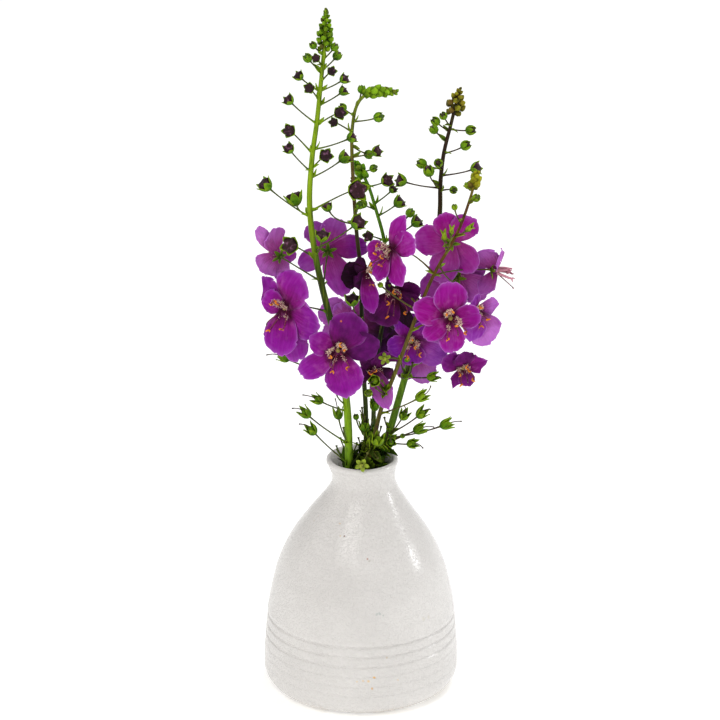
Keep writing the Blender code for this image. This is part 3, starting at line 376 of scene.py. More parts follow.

# The petals of each flower: the place of the tip as (right, up, depth), the width, how pointed the
# petal is from 0 to 1, and how much lighter it is than its flower, which also paints shade on petals
# turned from the light and glow on lit ones.
PETALS = {
    "bloom_01": (
        (-41.8, 183.4, -11.6, 5.6, 0.1, 0.08), (-34.4, 183.0, -7.4, 10.4, 0.15, -0.04),
        (-39.4, 165.2, -8.0, 12.5, 0.0, 0.05), (-26.4, 171.0, 2.4, 7.0, 0.0, -0.25),
        (-30.0, 162.2, 0.3, 7.5, 0.0, 0.1),
    ),
    "bloom_02": (
        (-40.6, 163.6, -9.1, 10.5, 0.7, -0.06), (-25.0, 164.4, -25.5, 15.5, 0.1, 0.0),
        (-39.2, 155.4, -15.6, 9.4, 0.0, 0.02), (-16.8, 143.0, -33.0, 15.5, 0.1, -0.06),
        (-33.0, 132.4, -24.4, 13.4, 0.0, 0.06), (-25.2, 129.6, -20.0, 10.5, 0.0, 0.12),
    ),
    "bloom_03": (
        (-20.4, 185.2, 6.3, 9.3, 0.0, 0.0), (-9.6, 187.0, 5.3, 10.0, 0.0, 0.05),
        (2.8, 175.8, 5.8, 10.4, 0.0, -0.14), (-6.4, 156.4, 8.4, 11.0, 0.0, 0.02),
        (-24.6, 166.6, 8.6, 8.4, 0.0, 0.0),
    ),
    "bloom_04": (
        (-7.8, 163.6, -12.0, 11.0, 0.0, -0.02), (-2.6, 159.6, -12.0, 10.5, 0.0, -0.06),
        (-2.8, 169.2, -10.0, 6.5, 0.0, -0.02), (4.6, 149.0, -13.0, 6.6, 0.1, 0.42),
        (9.4, 171.6, -0.8, 7.2, 0.0, 0.1),
    ),
    "bloom_05": (
        (17.4, 187.8, -31.2, 7.5, 0.3, 0.05), (21.4, 178.2, -37.1, 9.4, 0.0, 0.06),
        (16.6, 160.2, -35.6, 12.1, 0.2, 0.04), (6.0, 162.6, -23.7, 10.0, 0.1, -0.06),
        (2.6, 173.8, -18.8, 8.0, 0.0, -0.1),
    ),
    "bloom_06": (
        (32.8, 189.0, -9.7, 9.7, 0.0, -0.03), (21.4, 177.6, -7.9, 12.1, 0.0, 0.0),
        (45.2, 186.8, -9.3, 11.0, 0.0, 0.02), (45.2, 165.4, -6.5, 10.5, 0.0, 0.1),
        (31.6, 161.0, -5.8, 10.9, 0.0, 0.08),
    ),
    "bloom_07": (
        (45.8, 173.6, -3.0, 12.4, 0.0, 0.14), (52.2, 174.0, 3.0, 8.0, 0.0, -0.16),
        (55.6, 173.4, -5.0, 9.0, 0.0, 0.14), (47.4, 156.8, -3.0, 8.0, 0.2, 0.06),
        (49.6, 157.6, 4.0, 7.0, 0.1, -0.06),
    ),
    "bloom_08": (
        (35.4, 161.4, -36.5, 12.6, 0.0, 0.0), (21.3, 151.8, -40.5, 10.4, 0.0, 0.0),
        (48.0, 148.2, -39.1, 8.9, 0.0, -0.02), (24.8, 139.0, -42.6, 7.4, 0.1, -0.06),
        (36.4, 132.8, -42.6, 9.6, 0.1, 0.06),
    ),
    "bloom_09": (
        (55.2, 153.0, -7.6, 7.2, 0.2, 0.06), (52.6, 137.0, -9.9, 12.6, 0.0, 0.12),
        (45.0, 155.8, -21.3, 8.0, 0.0, -0.34), (38.8, 147.0, -27.7, 7.8, 0.0, -0.2),
        (43.6, 137.8, -21.1, 12.0, 0.0, -0.1),
    ),
    "bloom_10": (
        (17.4, 148.6, -8.0, 9.6, 0.0, 0.06), (10.6, 134.4, -5.8, 9.4, 0.1, -0.06),
        (20.8, 128.2, -4.3, 9.6, 0.0, -0.12), (34.0, 129.8, -2.0, 10.2, 0.0, 0.14),
        (28.4, 146.2, -5.9, 8.9, 0.0, -0.2),
    ),
    "bloom_11": (
        (9.6, 160.4, -6.0, 7.0, 0.0, 0.06), (24.0, 158.2, -12.0, 9.0, 0.1, 0.02),
        (25.2, 151.0, -15.0, 8.0, 0.0, 0.02), (4.8, 145.0, -9.0, 13.6, 0.0, 0.08),
        (16.0, 141.0, -2.0, 12.4, 0.0, 0.0),
    ),
    "bloom_12": (
        (-20.6, 139.0, -32.7, 9.0, 0.1, -0.02), (-2.0, 148.6, -32.3, 14.4, 0.0, -0.16),
        (7.2, 136.8, -35.4, 10.9, 0.0, -0.2), (-4.9, 115.6, -38.5, 14.2, 0.0, 0.06),
        (-24.4, 124.2, -35.1, 8.9, 0.0, 0.04),
    ),
    "bloom_13": (
        (11.4, 110.0, -19.0, 8.2, 0.45, 0.56), (12.4, 123.4, -4.7, 8.2, 0.1, -0.05),
        (9.6, 133.8, -11.6, 7.7, 0.0, -0.06), (0.8, 133.4, -14.7, 6.0, 0.0, -0.06),
        (-2.4, 124.6, -11.0, 8.7, 0.0, -0.06),
    ),
    "bloom_14": (
        (50.8, 129.8, -3.7, 9.6, 0.7, 0.04), (33.0, 130.8, -9.0, 8.6, 0.1, 0.0),
        (36.8, 118.8, -3.3, 5.4, 0.8, 0.0), (42.8, 120.2, -1.9, 6.4, 0.1, 0.02),
        (41.2, 134.0, -8.9, 8.5, 0.2, 0.02),
    ),
    "bloom_15": (
        (6.4, 139.0, 23.6, 13.0, 0.0, -0.78), (22.2, 144.4, 23.6, 11.3, 0.0, -0.34),
        (34.6, 135.9, 20.0, 11.3, 0.0, 0.0), (26.8, 120.6, 16.9, 10.6, 0.1, 0.05),
        (15.6, 123.0, 18.9, 8.8, 0.0, -0.1),
    ),
    "bloom_16": (
        (-9.4, 153.0, 14.5, 7.2, 0.0, 0.05), (-16.1, 152.0, 13.0, 11.3, 0.0, 0.0),
        (7.4, 151.5, 18.2, 11.3, 0.0, 0.0), (11.6, 140.6, 17.0, 13.0, 0.0, -0.66),
        (-12.9, 136.0, 14.9, 11.3, 0.0, 0.0),
    ),
    "bloom_17": (
        (24.0, 156.6, 6.5, 11.3, 0.0, 0.04), (36.4, 151.4, 4.8, 10.4, 0.0, 0.04),
        (50.0, 155.4, 2.9, 11.7, 0.0, 0.14), (49.2, 169.4, 3.0, 9.9, 0.0, 0.1),
        (42.5, 173.3, 4.0, 11.3, 0.0, 0.0),
    ),
}

# Petals that are turned another way than their flower: (flower, petal) to the way they face.
TURNED_PETALS = {
    ("bloom_02", 4): (-18, 4),
    ("bloom_02", 5): (-6, 0),
    ("bloom_04", 3): (6, 0),
    ("bloom_04", 4): (16, 0),
    ("bloom_07", 0): (148, 10),
    ("bloom_07", 2): (64, 0),
    ("bloom_07", 3): (135, 0),
    ("bloom_09", 0): (28, 4),
    ("bloom_09", 1): (24, 4),
}

# Stamens unlike the others: how woolly, how far spread and how thick they are.
STAMEN_HABITS = {
    "bloom_02": (0.7, 1.0, 1.1),
    "bloom_05": (0.7, 0.6, 1.2),
    "bloom_07": (0.0, 0.25, 1.9),
    "bloom_11": (0.45, 1.0, 1.1),
    "bloom_13": (0.4, 1.1, 1.2),
    "bloom_14": (0.6, 1.0, 1.1),
}
PLAIN_STAMENS = (0.85, 1.0, 1.1)

# Each plant's colours: its stem from the mouth up, as (height up the view, colour), its flower stalks,
# its green leaves, its closed buds and its growing end. Then the size of that end's small buds.
PLANTS = {
    "left_stem": {
        "skin": (
            # The dark bands from 136 to 164 are painted shade, where the flowers above shadow the stem.
            (88, "587c0a"), (100, "7ca40c"), (120, "7a9e0c"), (136, "4e680c"), (146, "37500a"),
            (164, "3a4e0a"), (172, "5c780e"), (182, "7c980e"), (200, "86a60e"), (270, "84a414"),
        ),
        "stalk": "4a561c",
        "leaf": "4c7c10",
        "bud": "2a0e16",
        "end": "689010",
        "beads": 0.88,
    },
    "bent_stem": {
        "skin": (
            (90, "3c4e10"), (150, "20200a"), (190, "3c2c12"), (205, "6a5026"), (236, "7c9020"),
        ),
        "stalk": "525a1e",
        "leaf": "4e8214",
        "bud": "2c1018",
        "end": "7aa41c",
        "beads": 1.2,
    },
    "back_stem": {
        "skin": (
            # The near-black bands from 132 to 150 are painted shadow, where the flowers in front shadow the
            # stem.
            (90, "2c4e0c"), (124, "34580c"), (132, "12180a"), (150, "141a0a"), (158, "4c8012"),
            (209, "60961a"),
        ),
        "stalk": "4a5c22",
        "leaf": "487c10",
        "bud": "280e14",
        "end": "6aa818",
        "beads": 1.2,
    },
    "right_stem": {
        "skin": (
            (90, "3c6a10"), (104, "5c8418"), (128, "608818"), (150, "3a3c14"), (175, "3a2814"),
            (239, "2c1410"),
        ),
        "stalk": "3c2818",
        "leaf": "568412",
        "bud": "2a1014",
        "end": "7c6e1e",
        "beads": 1.05,
    },
    "front_stem": {
        "skin": (
            (90, "4a4414"), (130, "5c501a"), (165, "6a501c"), (178, "6c4618"), (190, "582c18"),
            (205, "8c8418"),
        ),
        "stalk": "5c5a28",
        "leaf": "6c9016",
        "bud": "3c3a14",
        "end": "a49c1c",
        "beads": 1.2,
    },
}
STYLE_COLOUR = "3c1426"
STYLE_END_COLOUR = "7a8a3c"
OVARY_COLOUR = "8c8a3a"
FILAMENT_COLOUR = "5e0c38"
PALE_FILAMENT_COLOUR = "e8a8b8"

SLOTS = {
    "left_stem": "light_green_stem",
    "bent_stem": "olive_stem",
    "back_stem": "green_stem",
    "right_stem": "dark_green_stem",
    "front_stem": "brown_stem",
}

# The kinds of growth, in the order that the points number them. Names sort in that order.
STAR_SEPALS, POD, SEAT, TIGHT_BUD, END_BUD, BRACT, LEAF, OPEN_STAR = range(8)
STAR_BODY, TIGHT_TIP = range(2)

# Closed buds and pods as (height, radius) from the seat to the tip.
POD_BODY = ((0.0, 0.0), (0.3, 0.8), (1.3, 1.5), (2.6, 1.55), (3.8, 1.05), (4.5, 0.4), (4.8, 0.0))
TIGHT_BODY = ((0.0, 0.0), (0.3, 0.8), (1.1, 1.55), (2.1, 1.7), (3.0, 1.35), (3.6, 0.6), (3.8, 0.0))
END_BODY = ((0.0, 0.0), (0.25, 0.75), (0.8, 1.12), (1.5, 1.0), (2.2, 0.5), (2.6, 0.0))
TIGHT_TIP_BODY = ((2.4, 0.0), (2.7, 1.3), (3.3, 1.3), (3.9, 0.85), (4.3, 0.0))
STAR_BODY_OUTLINE = (
    (0.3, 0.0), (0.6, 0.9), (1.2, 1.6), (1.9, 1.95), (2.6, 2.06), (3.2, 2.08), (3.6, 1.9), (3.85, 1.3),
    (3.8, 0.5), (3.7, 0.0),
)

# Sepals round them as (height, radius, half width) from base to tip.
STAR_COURSE = (
    (0.1, 0.45, 0.5), (0.5, 1.15, 0.9), (1.2, 1.8, 1.25), (2.0, 2.2, 1.3), (2.8, 2.4, 0.95),
    (3.4, 2.65, 0.5), (4.0, 2.95, 0.05),
)
POD_COURSE = (
    (0.1, 0.5, 0.5), (0.6, 1.3, 0.95), (1.6, 1.9, 1.25), (2.8, 2.1, 1.1), (3.9, 2.15, 0.75),
    (4.9, 2.25, 0.4), (5.6, 2.5, 0.05),
)
SEAT_COURSE = (
    (0.0, 0.55, 0.5), (0.2, 1.3, 0.8), (0.55, 2.1, 0.9), (0.8, 2.9, 0.8), (0.95, 3.7, 0.5), (0.95, 4.5, 0.05),
)
TIGHT_COURSE = (
    (0.1, 0.5, 0.5), (0.7, 1.45, 1.0), (1.7, 1.95, 1.15), (2.7, 1.9, 0.95), (3.5, 1.6, 0.55),
    (4.2, 1.25, 0.05),
)
OPEN_STAR_COURSE = (
    (0.0, 0.55, 0.5), (0.2, 1.3, 0.9), (0.55, 2.1, 1.2), (0.8, 2.9, 1.25), (1.05, 3.6, 0.9), (1.3, 4.2, 0.1),
)

# A small leaf along its length, as (how far along, share of its width), and the rows across a leaf.
BRACT_COURSE = ((0.0, 0.35), (0.2, 0.8), (0.45, 1.0), (0.7, 0.75), (0.9, 0.35), (1.0, 0.04))
LEAF_COLUMNS = (-1.0, -0.5, 0.0, 0.5, 1.0)

# Points along a stalk, a filament, the ovary and a pod's dry style, and the radii there.
CURVE_SHARES = (0.0, 0.12, 0.25, 0.4, 0.55, 0.7, 0.85, 0.95, 1.0)
STALK_RADII = (0.55, 0.4, 0.32, 0.29, 0.28, 0.28, 0.3, 0.38, 0.55)
FILAMENT_RADII = (0.36, 0.32, 0.28, 0.26, 0.25, 0.24, 0.22, 0.2, 0.2)
STYLE_RADII = (0.3, 0.26, 0.22, 0.2, 0.2, 0.2, 0.24, 0.32, 0.34)
OVARY_RISES = (0.0, 0.4, 0.9, 1.4, 1.8)
OVARY_RADII = (0.7, 1.0, 1.05, 0.8, 0.3)
DRY_STYLE_SHARES = (0.0, 0.3, 0.6, 0.85, 1.0)
DRY_STYLE_RADII = (0.24, 0.2, 0.18, 0.2, 0.3)
DRY_STYLE_LENGTH = 5.0
POD_TIP = 4.2

# How many points the curve through a stem's guide points gets between two of them: for the stem's
# tube, for what grows along it, and to find a height on it. The power by which a stem gets thinner.
TUBE_STEPS = 6
GROWTH_STEPS = 8
FINDING_STEPS = 16
STEM_TAPER = 1.5

# A flower stalk: the share of its length over which it runs along its axis, and how many points it
# takes to go from the stem's colour to its own.
STALK_BEND = 0.45
STALK_FADE = 3.0

# A growing end: where along it it is thickest, how far its small buds stand out and sink back in, the
# size of the smallest and how much the thickness adds to it, how often one is brown and how brown, and
# the size of its bracts against its buds.
END_THICKEST = 0.25
END_SPREAD = 1.3
END_SUNK = 1.7
END_LEAST_BUD = 0.4
END_BUD_GAIN = 0.78
BROWN_BUDS = 0.14
BROWN_SHARE = 0.6
END_BRACT = 0.45

# A closed tuft: the size of its bud and its bracts against its own, how many bracts, and how far they
# lean in.
TUFT_BUD = 1.25
TUFT_BRACT = 1.8
TUFT_BRACTS = 3
TUFT_LEAN = 0.3

# The size of calyces against their profile. Below which height up the view growths get painted
# shade, as in the shadow of the vase's mouth, over what depth, how far at most, and how much of that
# buds and pods get.
STAR_FIT = 0.92
SHADE_TOP = 102.0
SHADE_DEPTH = 10.0
SHADE_MOST = 0.85
SHADE_ON_BUDS = 0.3

# Leaves in the vase's mouth: how many a stem has there, between which heights they start, their sizes
# and their length at size 1, how often a way that fits is looked for, how far out their tips may lie
# inside the neck and over the rim, the height above which they clear the rim, and how far painted
# shade may darken each, to stand for the shadow inside the mouth.
MOUTH_LEAVES = 24
MOUTH_LEAF_HEIGHTS = (92.0, 99.5)
MOUTH_LEAF_SIZES = (0.7, 1.15)
MOUTH_LEAF_LENGTH = 6.0
MOUTH_LEAF_TRIES = 20
MOUTH_LEAF_REACH = 11.4
RIM_LEAF_REACH = 13.5
RIM_LEAF_HEIGHT = 100.5
MOUTH_SHADES = (0.1, 0.7, 0.85, 0.92, 0.97)

# A petal: its corner counts, its thickness, how narrow it starts, where along it it is broadest, how
# it twists, how far each lies above the last, how full it is against its width in the list, how deep
# its rim waves, the width past which its folds get no deeper, how deep its ruffles and its middle
# crease are against that, and how wide the crease is.
PETAL_ROWS = 23
PETAL_COLUMNS = 17
PETAL_THICKNESS = 0.24
PETAL_CLAW = 0.26
PETAL_BROADEST = 0.6
PETAL_TWIST = math.radians(6.0)
PETAL_OVERLAP = 0.2
PETAL_FULLNESS = 1.1
PETAL_WAVES = (0.066, 0.036, 0.022)
WIDEST_FOLD = 12.0
RUFFLE_DEPTH = 0.07
CREASE_DEPTH = 0.05
CREASE_WIDTH = 0.16

# A flower's stamens: how many, and how far round its middle from one to the next. The long ones are
# those whose angle has a sine below LONG_STAMENS. They reach further and carry less of their wool.
STAMENS = 5
STAMEN_TURN = 0.4 * math.pi
LONG_STAMENS = -0.3
LONG_STAMEN_REACH = 1.3
LONG_STAMEN_WOOL = 0.55

# A filament: how far out and in front of the flower's middle it starts, how far it comes forward, how
# fast it opens out, and how fast it hooks back.
FILAMENT_OUT = 0.6
FILAMENT_FRONT = 0.5
FILAMENT_FORWARD = 3.6
FILAMENT_OPENING = 2.3
FILAMENT_HOOK = 1.7

# An anther's length, radius and bend, how far it may be rolled on its filament, a wool hair's length
# and radius, where along a filament the wool starts, and the sizes of its hairs.
ANTHER = (2.4, 0.45, 1.1)
ANTHER_ROLL = 0.9
WOOL_HAIR = (1.15, 0.1)
WOOL_START = 0.22
WOOL_SIZES = (0.55, 1.15)

# The lights, in metres and watts: name, place, what they look at, width and height, power and colour.
LIGHTS = (
    ("key_softbox", (-0.48, -0.99, 1.27), (0.0, 0.0, 0.15), (0.8, 0.8), 7.2, (1.0, 0.98, 0.95)),
    ("left_softbox", (-1.3, -0.2, 0.5), (0.0, 0.0, 0.1), (0.8, 0.8), 1.5, (1.0, 0.97, 0.93)),
    ("right_softbox", (1.3, -0.45, 0.5), (0.0, 0.0, 0.1), (0.8, 0.8), 0.4, (0.96, 0.985, 1.0)),
    ("front_softbox", (0.1, -1.5, 0.6), (0.0, 0.0, 0.12), (1.0, 1.0), 2.2, (1.0, 0.985, 0.97)),
    ("tall_window", (1.27, 0.04, 0.44), (0.0, 0.0, 0.07), (0.08, 0.3), 2.9, (0.97, 0.99, 1.0)),
    ("overhead", (0.4, 0.3, 1.4), (0.0, 0.0, 0.12), (0.8, 0.8), 7.0, (1.0, 1.0, 1.0)),
)

# How bright the room is, and how far the floor reaches each way, in metres.
ROOM_BRIGHTNESS = 0.46
FLOOR_REACH = 3.0


def sighted(right, up, depth):
    """The place in space that the front view shows at (right, up), at that depth behind the axis."""
    aim = VIEW_MIDDLE + Vector((right - VIEW_MIDDLE_RIGHT, 0.0, 0.0)) + VIEW_UP * (up - VIEW_MIDDLE_UP)
    sight = aim - EYE
    return (EYE + sight * ((depth - EYE.y) / sight.y)) * MM


def facing(around, above):
    """Unit vector that points so many degrees round from the front, towards the right, and above level."""
    turn, lift = math.radians(around), math.radians(above)
    return Vector((math.sin(turn) * math.cos(lift), -math.cos(turn) * math.cos(lift), math.sin(lift)))


def round_axis(reach, angle, height):
    """A place so far from Z, so far round it and so high, from millimetres."""
    return Vector((reach * math.cos(angle), reach * math.sin(angle), height)) * MM


def between(before, start, end, after, share):
    """A point on the smooth curve from start to end that passes before and after too."""
    return 0.5 * (
        2.0 * start
        + (end - before) * share
        + (2.0 * before - 5.0 * start + 4.0 * end - after) * share**2
        + (3.0 * start - before - 3.0 * end + after) * share**3
    )


def smooth_path(guide, steps):
    """Points along a smooth curve through the guide points, so many to each span."""
    guide = [Vector(point) for point in guide]
    ends = [2 * guide[0] - guide[1], *guide, 2 * guide[-1] - guide[-2]]
    path = []
    for before, start, end, after in zip(ends, ends[1:], ends[2:], ends[3:]):
        path += [between(before, start, end, after, step / steps) for step in range(steps)]
    return [*path, guide[-1]]


def lengths_along(path):
    """Distance of each point from the start of the path."""
    total, found = 0.0, [0.0]
    for start, end in zip(path, path[1:]):
        total += (end - start).length
        found.append(total)
    return found


def point_along(path, along, distance):
    """The point and direction at a distance from the start of a path."""
    for place in range(len(path) - 1):
        if along[place + 1] >= distance:
            share = (distance - along[place]) / (along[place + 1] - along[place])
            return path[place].lerp(path[place + 1], share), (path[place + 1] - path[place]).normalized()
    return path[-1], (path[-1] - path[-2]).normalized()


def stem_path(name, steps):
    """The stem's centre line in space, from its cut end in the vase to its tip."""
    stem = STEMS[name]
    foot = Vector((*stem["foot"], STEM_FOOT_HEIGHT)) * MM
    return [foot, *smooth_path([sighted(*point) for point in stem["guide"]], steps)]


def stem_point(name, up):
    """Where the stem's centre line passes a height up the front view."""
    path = smooth_path(STEMS[name]["guide"], FINDING_STEPS)
    for low, high in zip(path, path[1:]):
        if low.y <= up <= high.y:
            return sighted(*low.lerp(high, (up - low.y) / (high.y - low.y)))
    raise ValueError(f"{name} does not reach {up} up the view")


def bud_axis(way, root, place):
    """Which way a bud points: out along its stalk, up, or more to the front."""
    out = (place - root).normalized()
    lean = {
        "out": Vector((0.0, -0.22, 0.25)),
        "up": Vector((0.0, 0.0, 1.6)),
        "front": Vector((0.0, -2.4, 0.5)),
    }[way]
    return (out + lean).normalized()


def bloom_frame(look):
    """The three axes of a flower: to the right across its face, up it and the way that it faces."""
    face = facing(*look)
    level = UPWARDS.cross(face).normalized()
    return level, face.cross(level), face


def paint(code):
    """A colour written as six hex digits, as the linear values that nodes and attributes take."""
    parts = [int(code[place : place + 2], 16) / 255.0 for place in (0, 2, 4)]
    return (*(part / 12.92 if part < 0.04045 else ((part + 0.055) / 1.055) ** 2.4 for part in parts), 1.0)


def blend_paint(first, second, share):
    """A colour part of the way from one to another."""
    return tuple(a + (b - a) * share for a, b in zip(first, second))


def graded_paint(bands, up):
    """The colour at a height, from (height, hex colour) bands."""
    for (low, under), (high, over) in zip(bands, bands[1:]):
        if up <= high:
            return blend_paint(paint(under), paint(over), max(0.0, (up - low) / (high - low)))
    return paint(bands[-1][1])


def shifted(colour, chance, amount=0.22):
    """A colour made a little lighter or darker at random."""
    factor = 1.0 + chance.uniform(-amount, amount)
    return (*(part * factor for part in colour[:3]), 1.0)


class Wire:
    """An output socket. Arithmetic on it adds Math nodes to its tree."""

    def __init__(self, nodes, socket):
        self.nodes = nodes
        self.socket = socket

    def __add__(self, other):
        return self.nodes.maths("ADD", self, other)

    def __radd__(self, other):
        return self.nodes.maths("ADD", other, self)

    def __sub__(self, other):
        return self.nodes.maths("SUBTRACT", self, other)

    def __rsub__(self, other):
        return self.nodes.maths("SUBTRACT", other, self)

    def __mul__(self, other):
        return self.nodes.maths("MULTIPLY", self, other)

    def __abs__(self):
        return self.nodes.maths("ABSOLUTE", self)


def connect(tree, socket, value):
    """Links a wire to an input socket, or gives the socket a fixed value."""
    if isinstance(value, Wire):
        tree.links.new(value.socket, socket)
    else:
        socket.default_value = value


class Nodes:
    """A node tree being wired up, for a material or for Geometry Nodes."""

    def __init__(self, tree):
        self.tree = tree

    def add(self, kind, settings=None, inputs=None, output=0):
        """Adds a node, makes its settings, fills or links its sockets, and gives back one output."""
        node = self.tree.nodes.new(kind)
        for name, value in (settings or {}).items():
            setattr(node, name, value)
        for key, value in (inputs or {}).items():
            socket = next(s for place, s in enumerate(node.inputs) if key in (place, s.identifier))
            connect(self.tree, socket, value)
        for place, socket in enumerate(node.outputs):
            if output in (place, socket.identifier):
                return Wire(self, socket)
        return node

    def maths(self, operation, *values):
        """A Math node."""
        return self.add("ShaderNodeMath", {"operation": operation}, dict(enumerate(values)))

    def held(self, value):
        """A number kept between 0 and 1."""
        return self.add("ShaderNodeMath", {"operation": "ADD", "use_clamp": True}, {0: value, 1: 0.0})

    def step(self, value, low, high):
        """A soft step from 0 at low to 1 at high."""
        inputs = {"Value": value, "From Min": low, "From Max": high}
        return self.add("ShaderNodeMapRange", {"interpolation_type": "SMOOTHSTEP"}, inputs)

    def mix(self, share, first, second):
        """A colour that share takes from the first to the second."""
        inputs = {"Factor_Float": share, "A_Color": first, "B_Color": second}
        return self.add("ShaderNodeMix", {"data_type": "RGBA", "clamp_factor": True}, inputs, "Result_Color")

    def layered(self, colour, *layers):
        """A colour with others laid over it, each as (how strong, hex colour)."""
        for share, over in layers:
            colour = self.mix(share, colour, paint(over))
        return colour

    def vector(self, *parts):
        """A vector from its numbers."""
        return self.add("ShaderNodeCombineXYZ", None, dict(enumerate(parts)))

    def vector_maths(self, operation, inputs, output=0):
        """A Vector Math node."""
        return self.add("ShaderNodeVectorMath", {"operation": operation}, inputs, output)

    def parts(self, vector, kind="ShaderNodeSeparateXYZ"):
        """The three numbers of a vector or of a colour."""
        node = self.add(kind, None, {0: vector}, None)
        return [Wire(self, socket) for socket in node.outputs][:3]

    def colour_parts(self, colour):
        """The red, green and blue of a colour."""
        return self.parts(colour, "ShaderNodeSeparateColor")

    def scaled(self, vector, scale):
        """A vector times a fixed vector."""
        return self.vector_maths("MULTIPLY", {0: vector, 1: scale})

    def noise(self, vector, scale, detail=2.0, roughness=0.5):
        """Soft noise between 0 and 1."""
        inputs = {"Vector": vector, "Scale": scale, "Detail": detail, "Roughness": roughness}
        return self.add("ShaderNodeTexNoise", None, inputs)

    def cells(self, vector, scale, output="Distance"):
        """Cells: the distance from the nearest one's middle, or its own colour."""
        return self.add("ShaderNodeTexVoronoi", None, {"Vector": vector, "Scale": scale}, output)

    def bump(self, height, strength, distance, under=None):
        """Raises the surface by a height of 0 to 1 times the distance."""
        inputs = {"Height": height, "Strength": strength, "Distance": distance}
        if under:
            inputs["Normal"] = under
        return self.add("ShaderNodeBump", None, inputs)

    def kept(self, mark, output="Color"):
        """A colour, or its fourth value, that is kept at a piece's corners."""
        return self.add("ShaderNodeAttribute", {"attribute_name": mark}, None, output)

    def on_object(self):
        """Places on the object, in metres."""
        return self.add("ShaderNodeTexCoord", None, None, "Object")

    def on_sheet(self):
        """Places on a petal or leaf: how far across it and how far along it, from 0 to 1."""
        return self.parts(self.add("ShaderNodeUVMap", {"uv_map": "petal"}))[:2]


def new_skin(look):
    """A material with the name of the function that gives its sockets their values and wires."""
    made = bpy.data.materials.new(look.__name__)
    made.use_nodes = True
    shader = made.node_tree.nodes["Principled BSDF"]
    for name, value in look(Nodes(made.node_tree)).items():
        connect(made.node_tree, shader.inputs[name], value)
    return made


def petal_skin(nodes):
    """Velvety purple petals: maroon at the heart, paler at the rim, with fanned veins and pollen, and painted
    shade and glow from their tone.
    """
    place = nodes.on_object()
    across, along = nodes.on_sheet()
    aside = abs(across - 0.5)
    lightness_and_shade, redness, chance = nodes.colour_parts(nodes.kept("tone"))
    upper = nodes.kept("tone", "Alpha")
    cloud = nodes.noise(place, 240.0, 3.0)
    light = lightness_and_shade + (cloud - 0.5) * 0.34 + (chance - 0.5) * 0.1
    strength = nodes.step(light, 0.08, 0.4)
    waver = nodes.noise(nodes.vector(across, along * 0.6), 7.0, 2.0)
    ray = nodes.noise(nodes.vector(across * 9.0, along * 1.4, chance * 30.0), 1.6, 3.0)
    rim = nodes.step(along, 0.84, 1.0) * 0.35 + nodes.step(aside, 0.38, 0.5) * 0.35
    edge = nodes.held(nodes.step(along, 0.965, 1.0) + nodes.step(aside, 0.465, 0.5))
    fan = nodes.maths("SINE", (across - 0.5) * 74.0 + (waver - 0.5) * 9.0)
    vein = nodes.held((fan - 0.72) * 3.4) * nodes.step(along, 1.02, 0.2)
    haze = nodes.step(nodes.noise(place, 330.0, 2.0), 0.5, 0.78) * nodes.step(along, 0.95, 0.5)
    lucky = nodes.colour_parts(nodes.cells(place, 130.0, "Color"))[0]
    pollen = nodes.step(nodes.cells(place, 130.0), 0.085, 0.05) * nodes.step(lucky, 0.93, 0.94)
    body = nodes.layered(
        nodes.mix(redness, paint("6420a6"), paint("9c0688")),
        # Painted shade and glow: a low tone darkens the petals and a high one lightens them, as the light
        # falls on them.
        (nodes.held(1.0 - light * 2.3), "1e0416"),
        (nodes.held((light - 0.48) * 1.9), "c87ad0"),
        (nodes.step(ray, 0.45, 0.8) * strength * 0.14, "b86ccc"),
        (nodes.step(ray, 0.52, 0.22) * 0.24, "4a0656"),
        (nodes.step(along + (cloud - 0.5) * 0.5, 0.78, 0.2) * strength * 0.5, "820452"),
        (rim * strength, "ae5cc4"),
        (edge * strength * 0.32, "d49ae0"),
        # The flower's dark maroon heart, deepened by painted shade in its cup, more on the upper side.
        (nodes.step(along + (cloud - 0.5) * 0.3, 0.42, 0.12) * (0.3 + upper * 0.62), "38040e"),
        (nodes.step(along, 0.8, 0.1) * (1.0 - upper) * 0.42, "b43a96"),
        (vein * 0.2, "4a0a52"),
        (haze * strength * 0.3, "c266b0"),
        (pollen * 0.85, "e0762a"),
    )
    grain = nodes.noise(place, 2600.0, 1.0)
    raised = nodes.bump(vein * -0.5 + cloud * 0.5 + ray * 0.8, 0.7, 0.0005)
    return {
        "Base Color": body,
        "Roughness": 0.62 + grain * 0.2,
        "Normal": nodes.bump(grain, 0.35, 0.00006, raised),
        "Specular IOR Level": 0.1,
        "Subsurface Weight": 0.2,
        "Subsurface Radius": (0.9, 0.2, 0.8),
        "Subsurface Scale": 0.0006,
    }


def stem_skin(nodes):
    """Green skin with long fibres, paler streaks and a few dark flecks, with painted shade on its right side.
    """
    place = nodes.on_object()
    streaks = nodes.noise(nodes.scaled(place, (1500.0, 1500.0, 60.0)), 1.0, 3.0)
    blotch = nodes.noise(place, 130.0, 3.0)
    flecks = nodes.step(nodes.cells(nodes.scaled(place, (1.0, 1.0, 0.45)), 900.0), 0.2, 0.08)
    painted_shade_side = nodes.parts(nodes.add("ShaderNodeNewGeometry", None, None, "Normal"))[0]
    skin = nodes.layered(
        nodes.kept("tint"),
        (nodes.step(streaks, 0.54, 0.72) * 0.3, "a8c030"),
        (nodes.step(streaks, 0.5, 0.28) * 0.55, "1c2c04"),
        (nodes.step(blotch, 0.55, 0.75) * 0.3, "4c2a1c"),
        (flecks * 0.45, "2a1a10"),
        # Painted shade: the side whose normal points to the right is darkened, as if turned away from the
        # light.
        (nodes.step(painted_shade_side, 0.0, 0.9) * 0.5, "182404"),
    )
    return {
        "Base Color": skin,
        "Roughness": 0.42 + blotch * 0.25,
        "Normal": nodes.bump(streaks, 0.6, 0.00012),
        "Specular IOR Level": 0.15,
    }


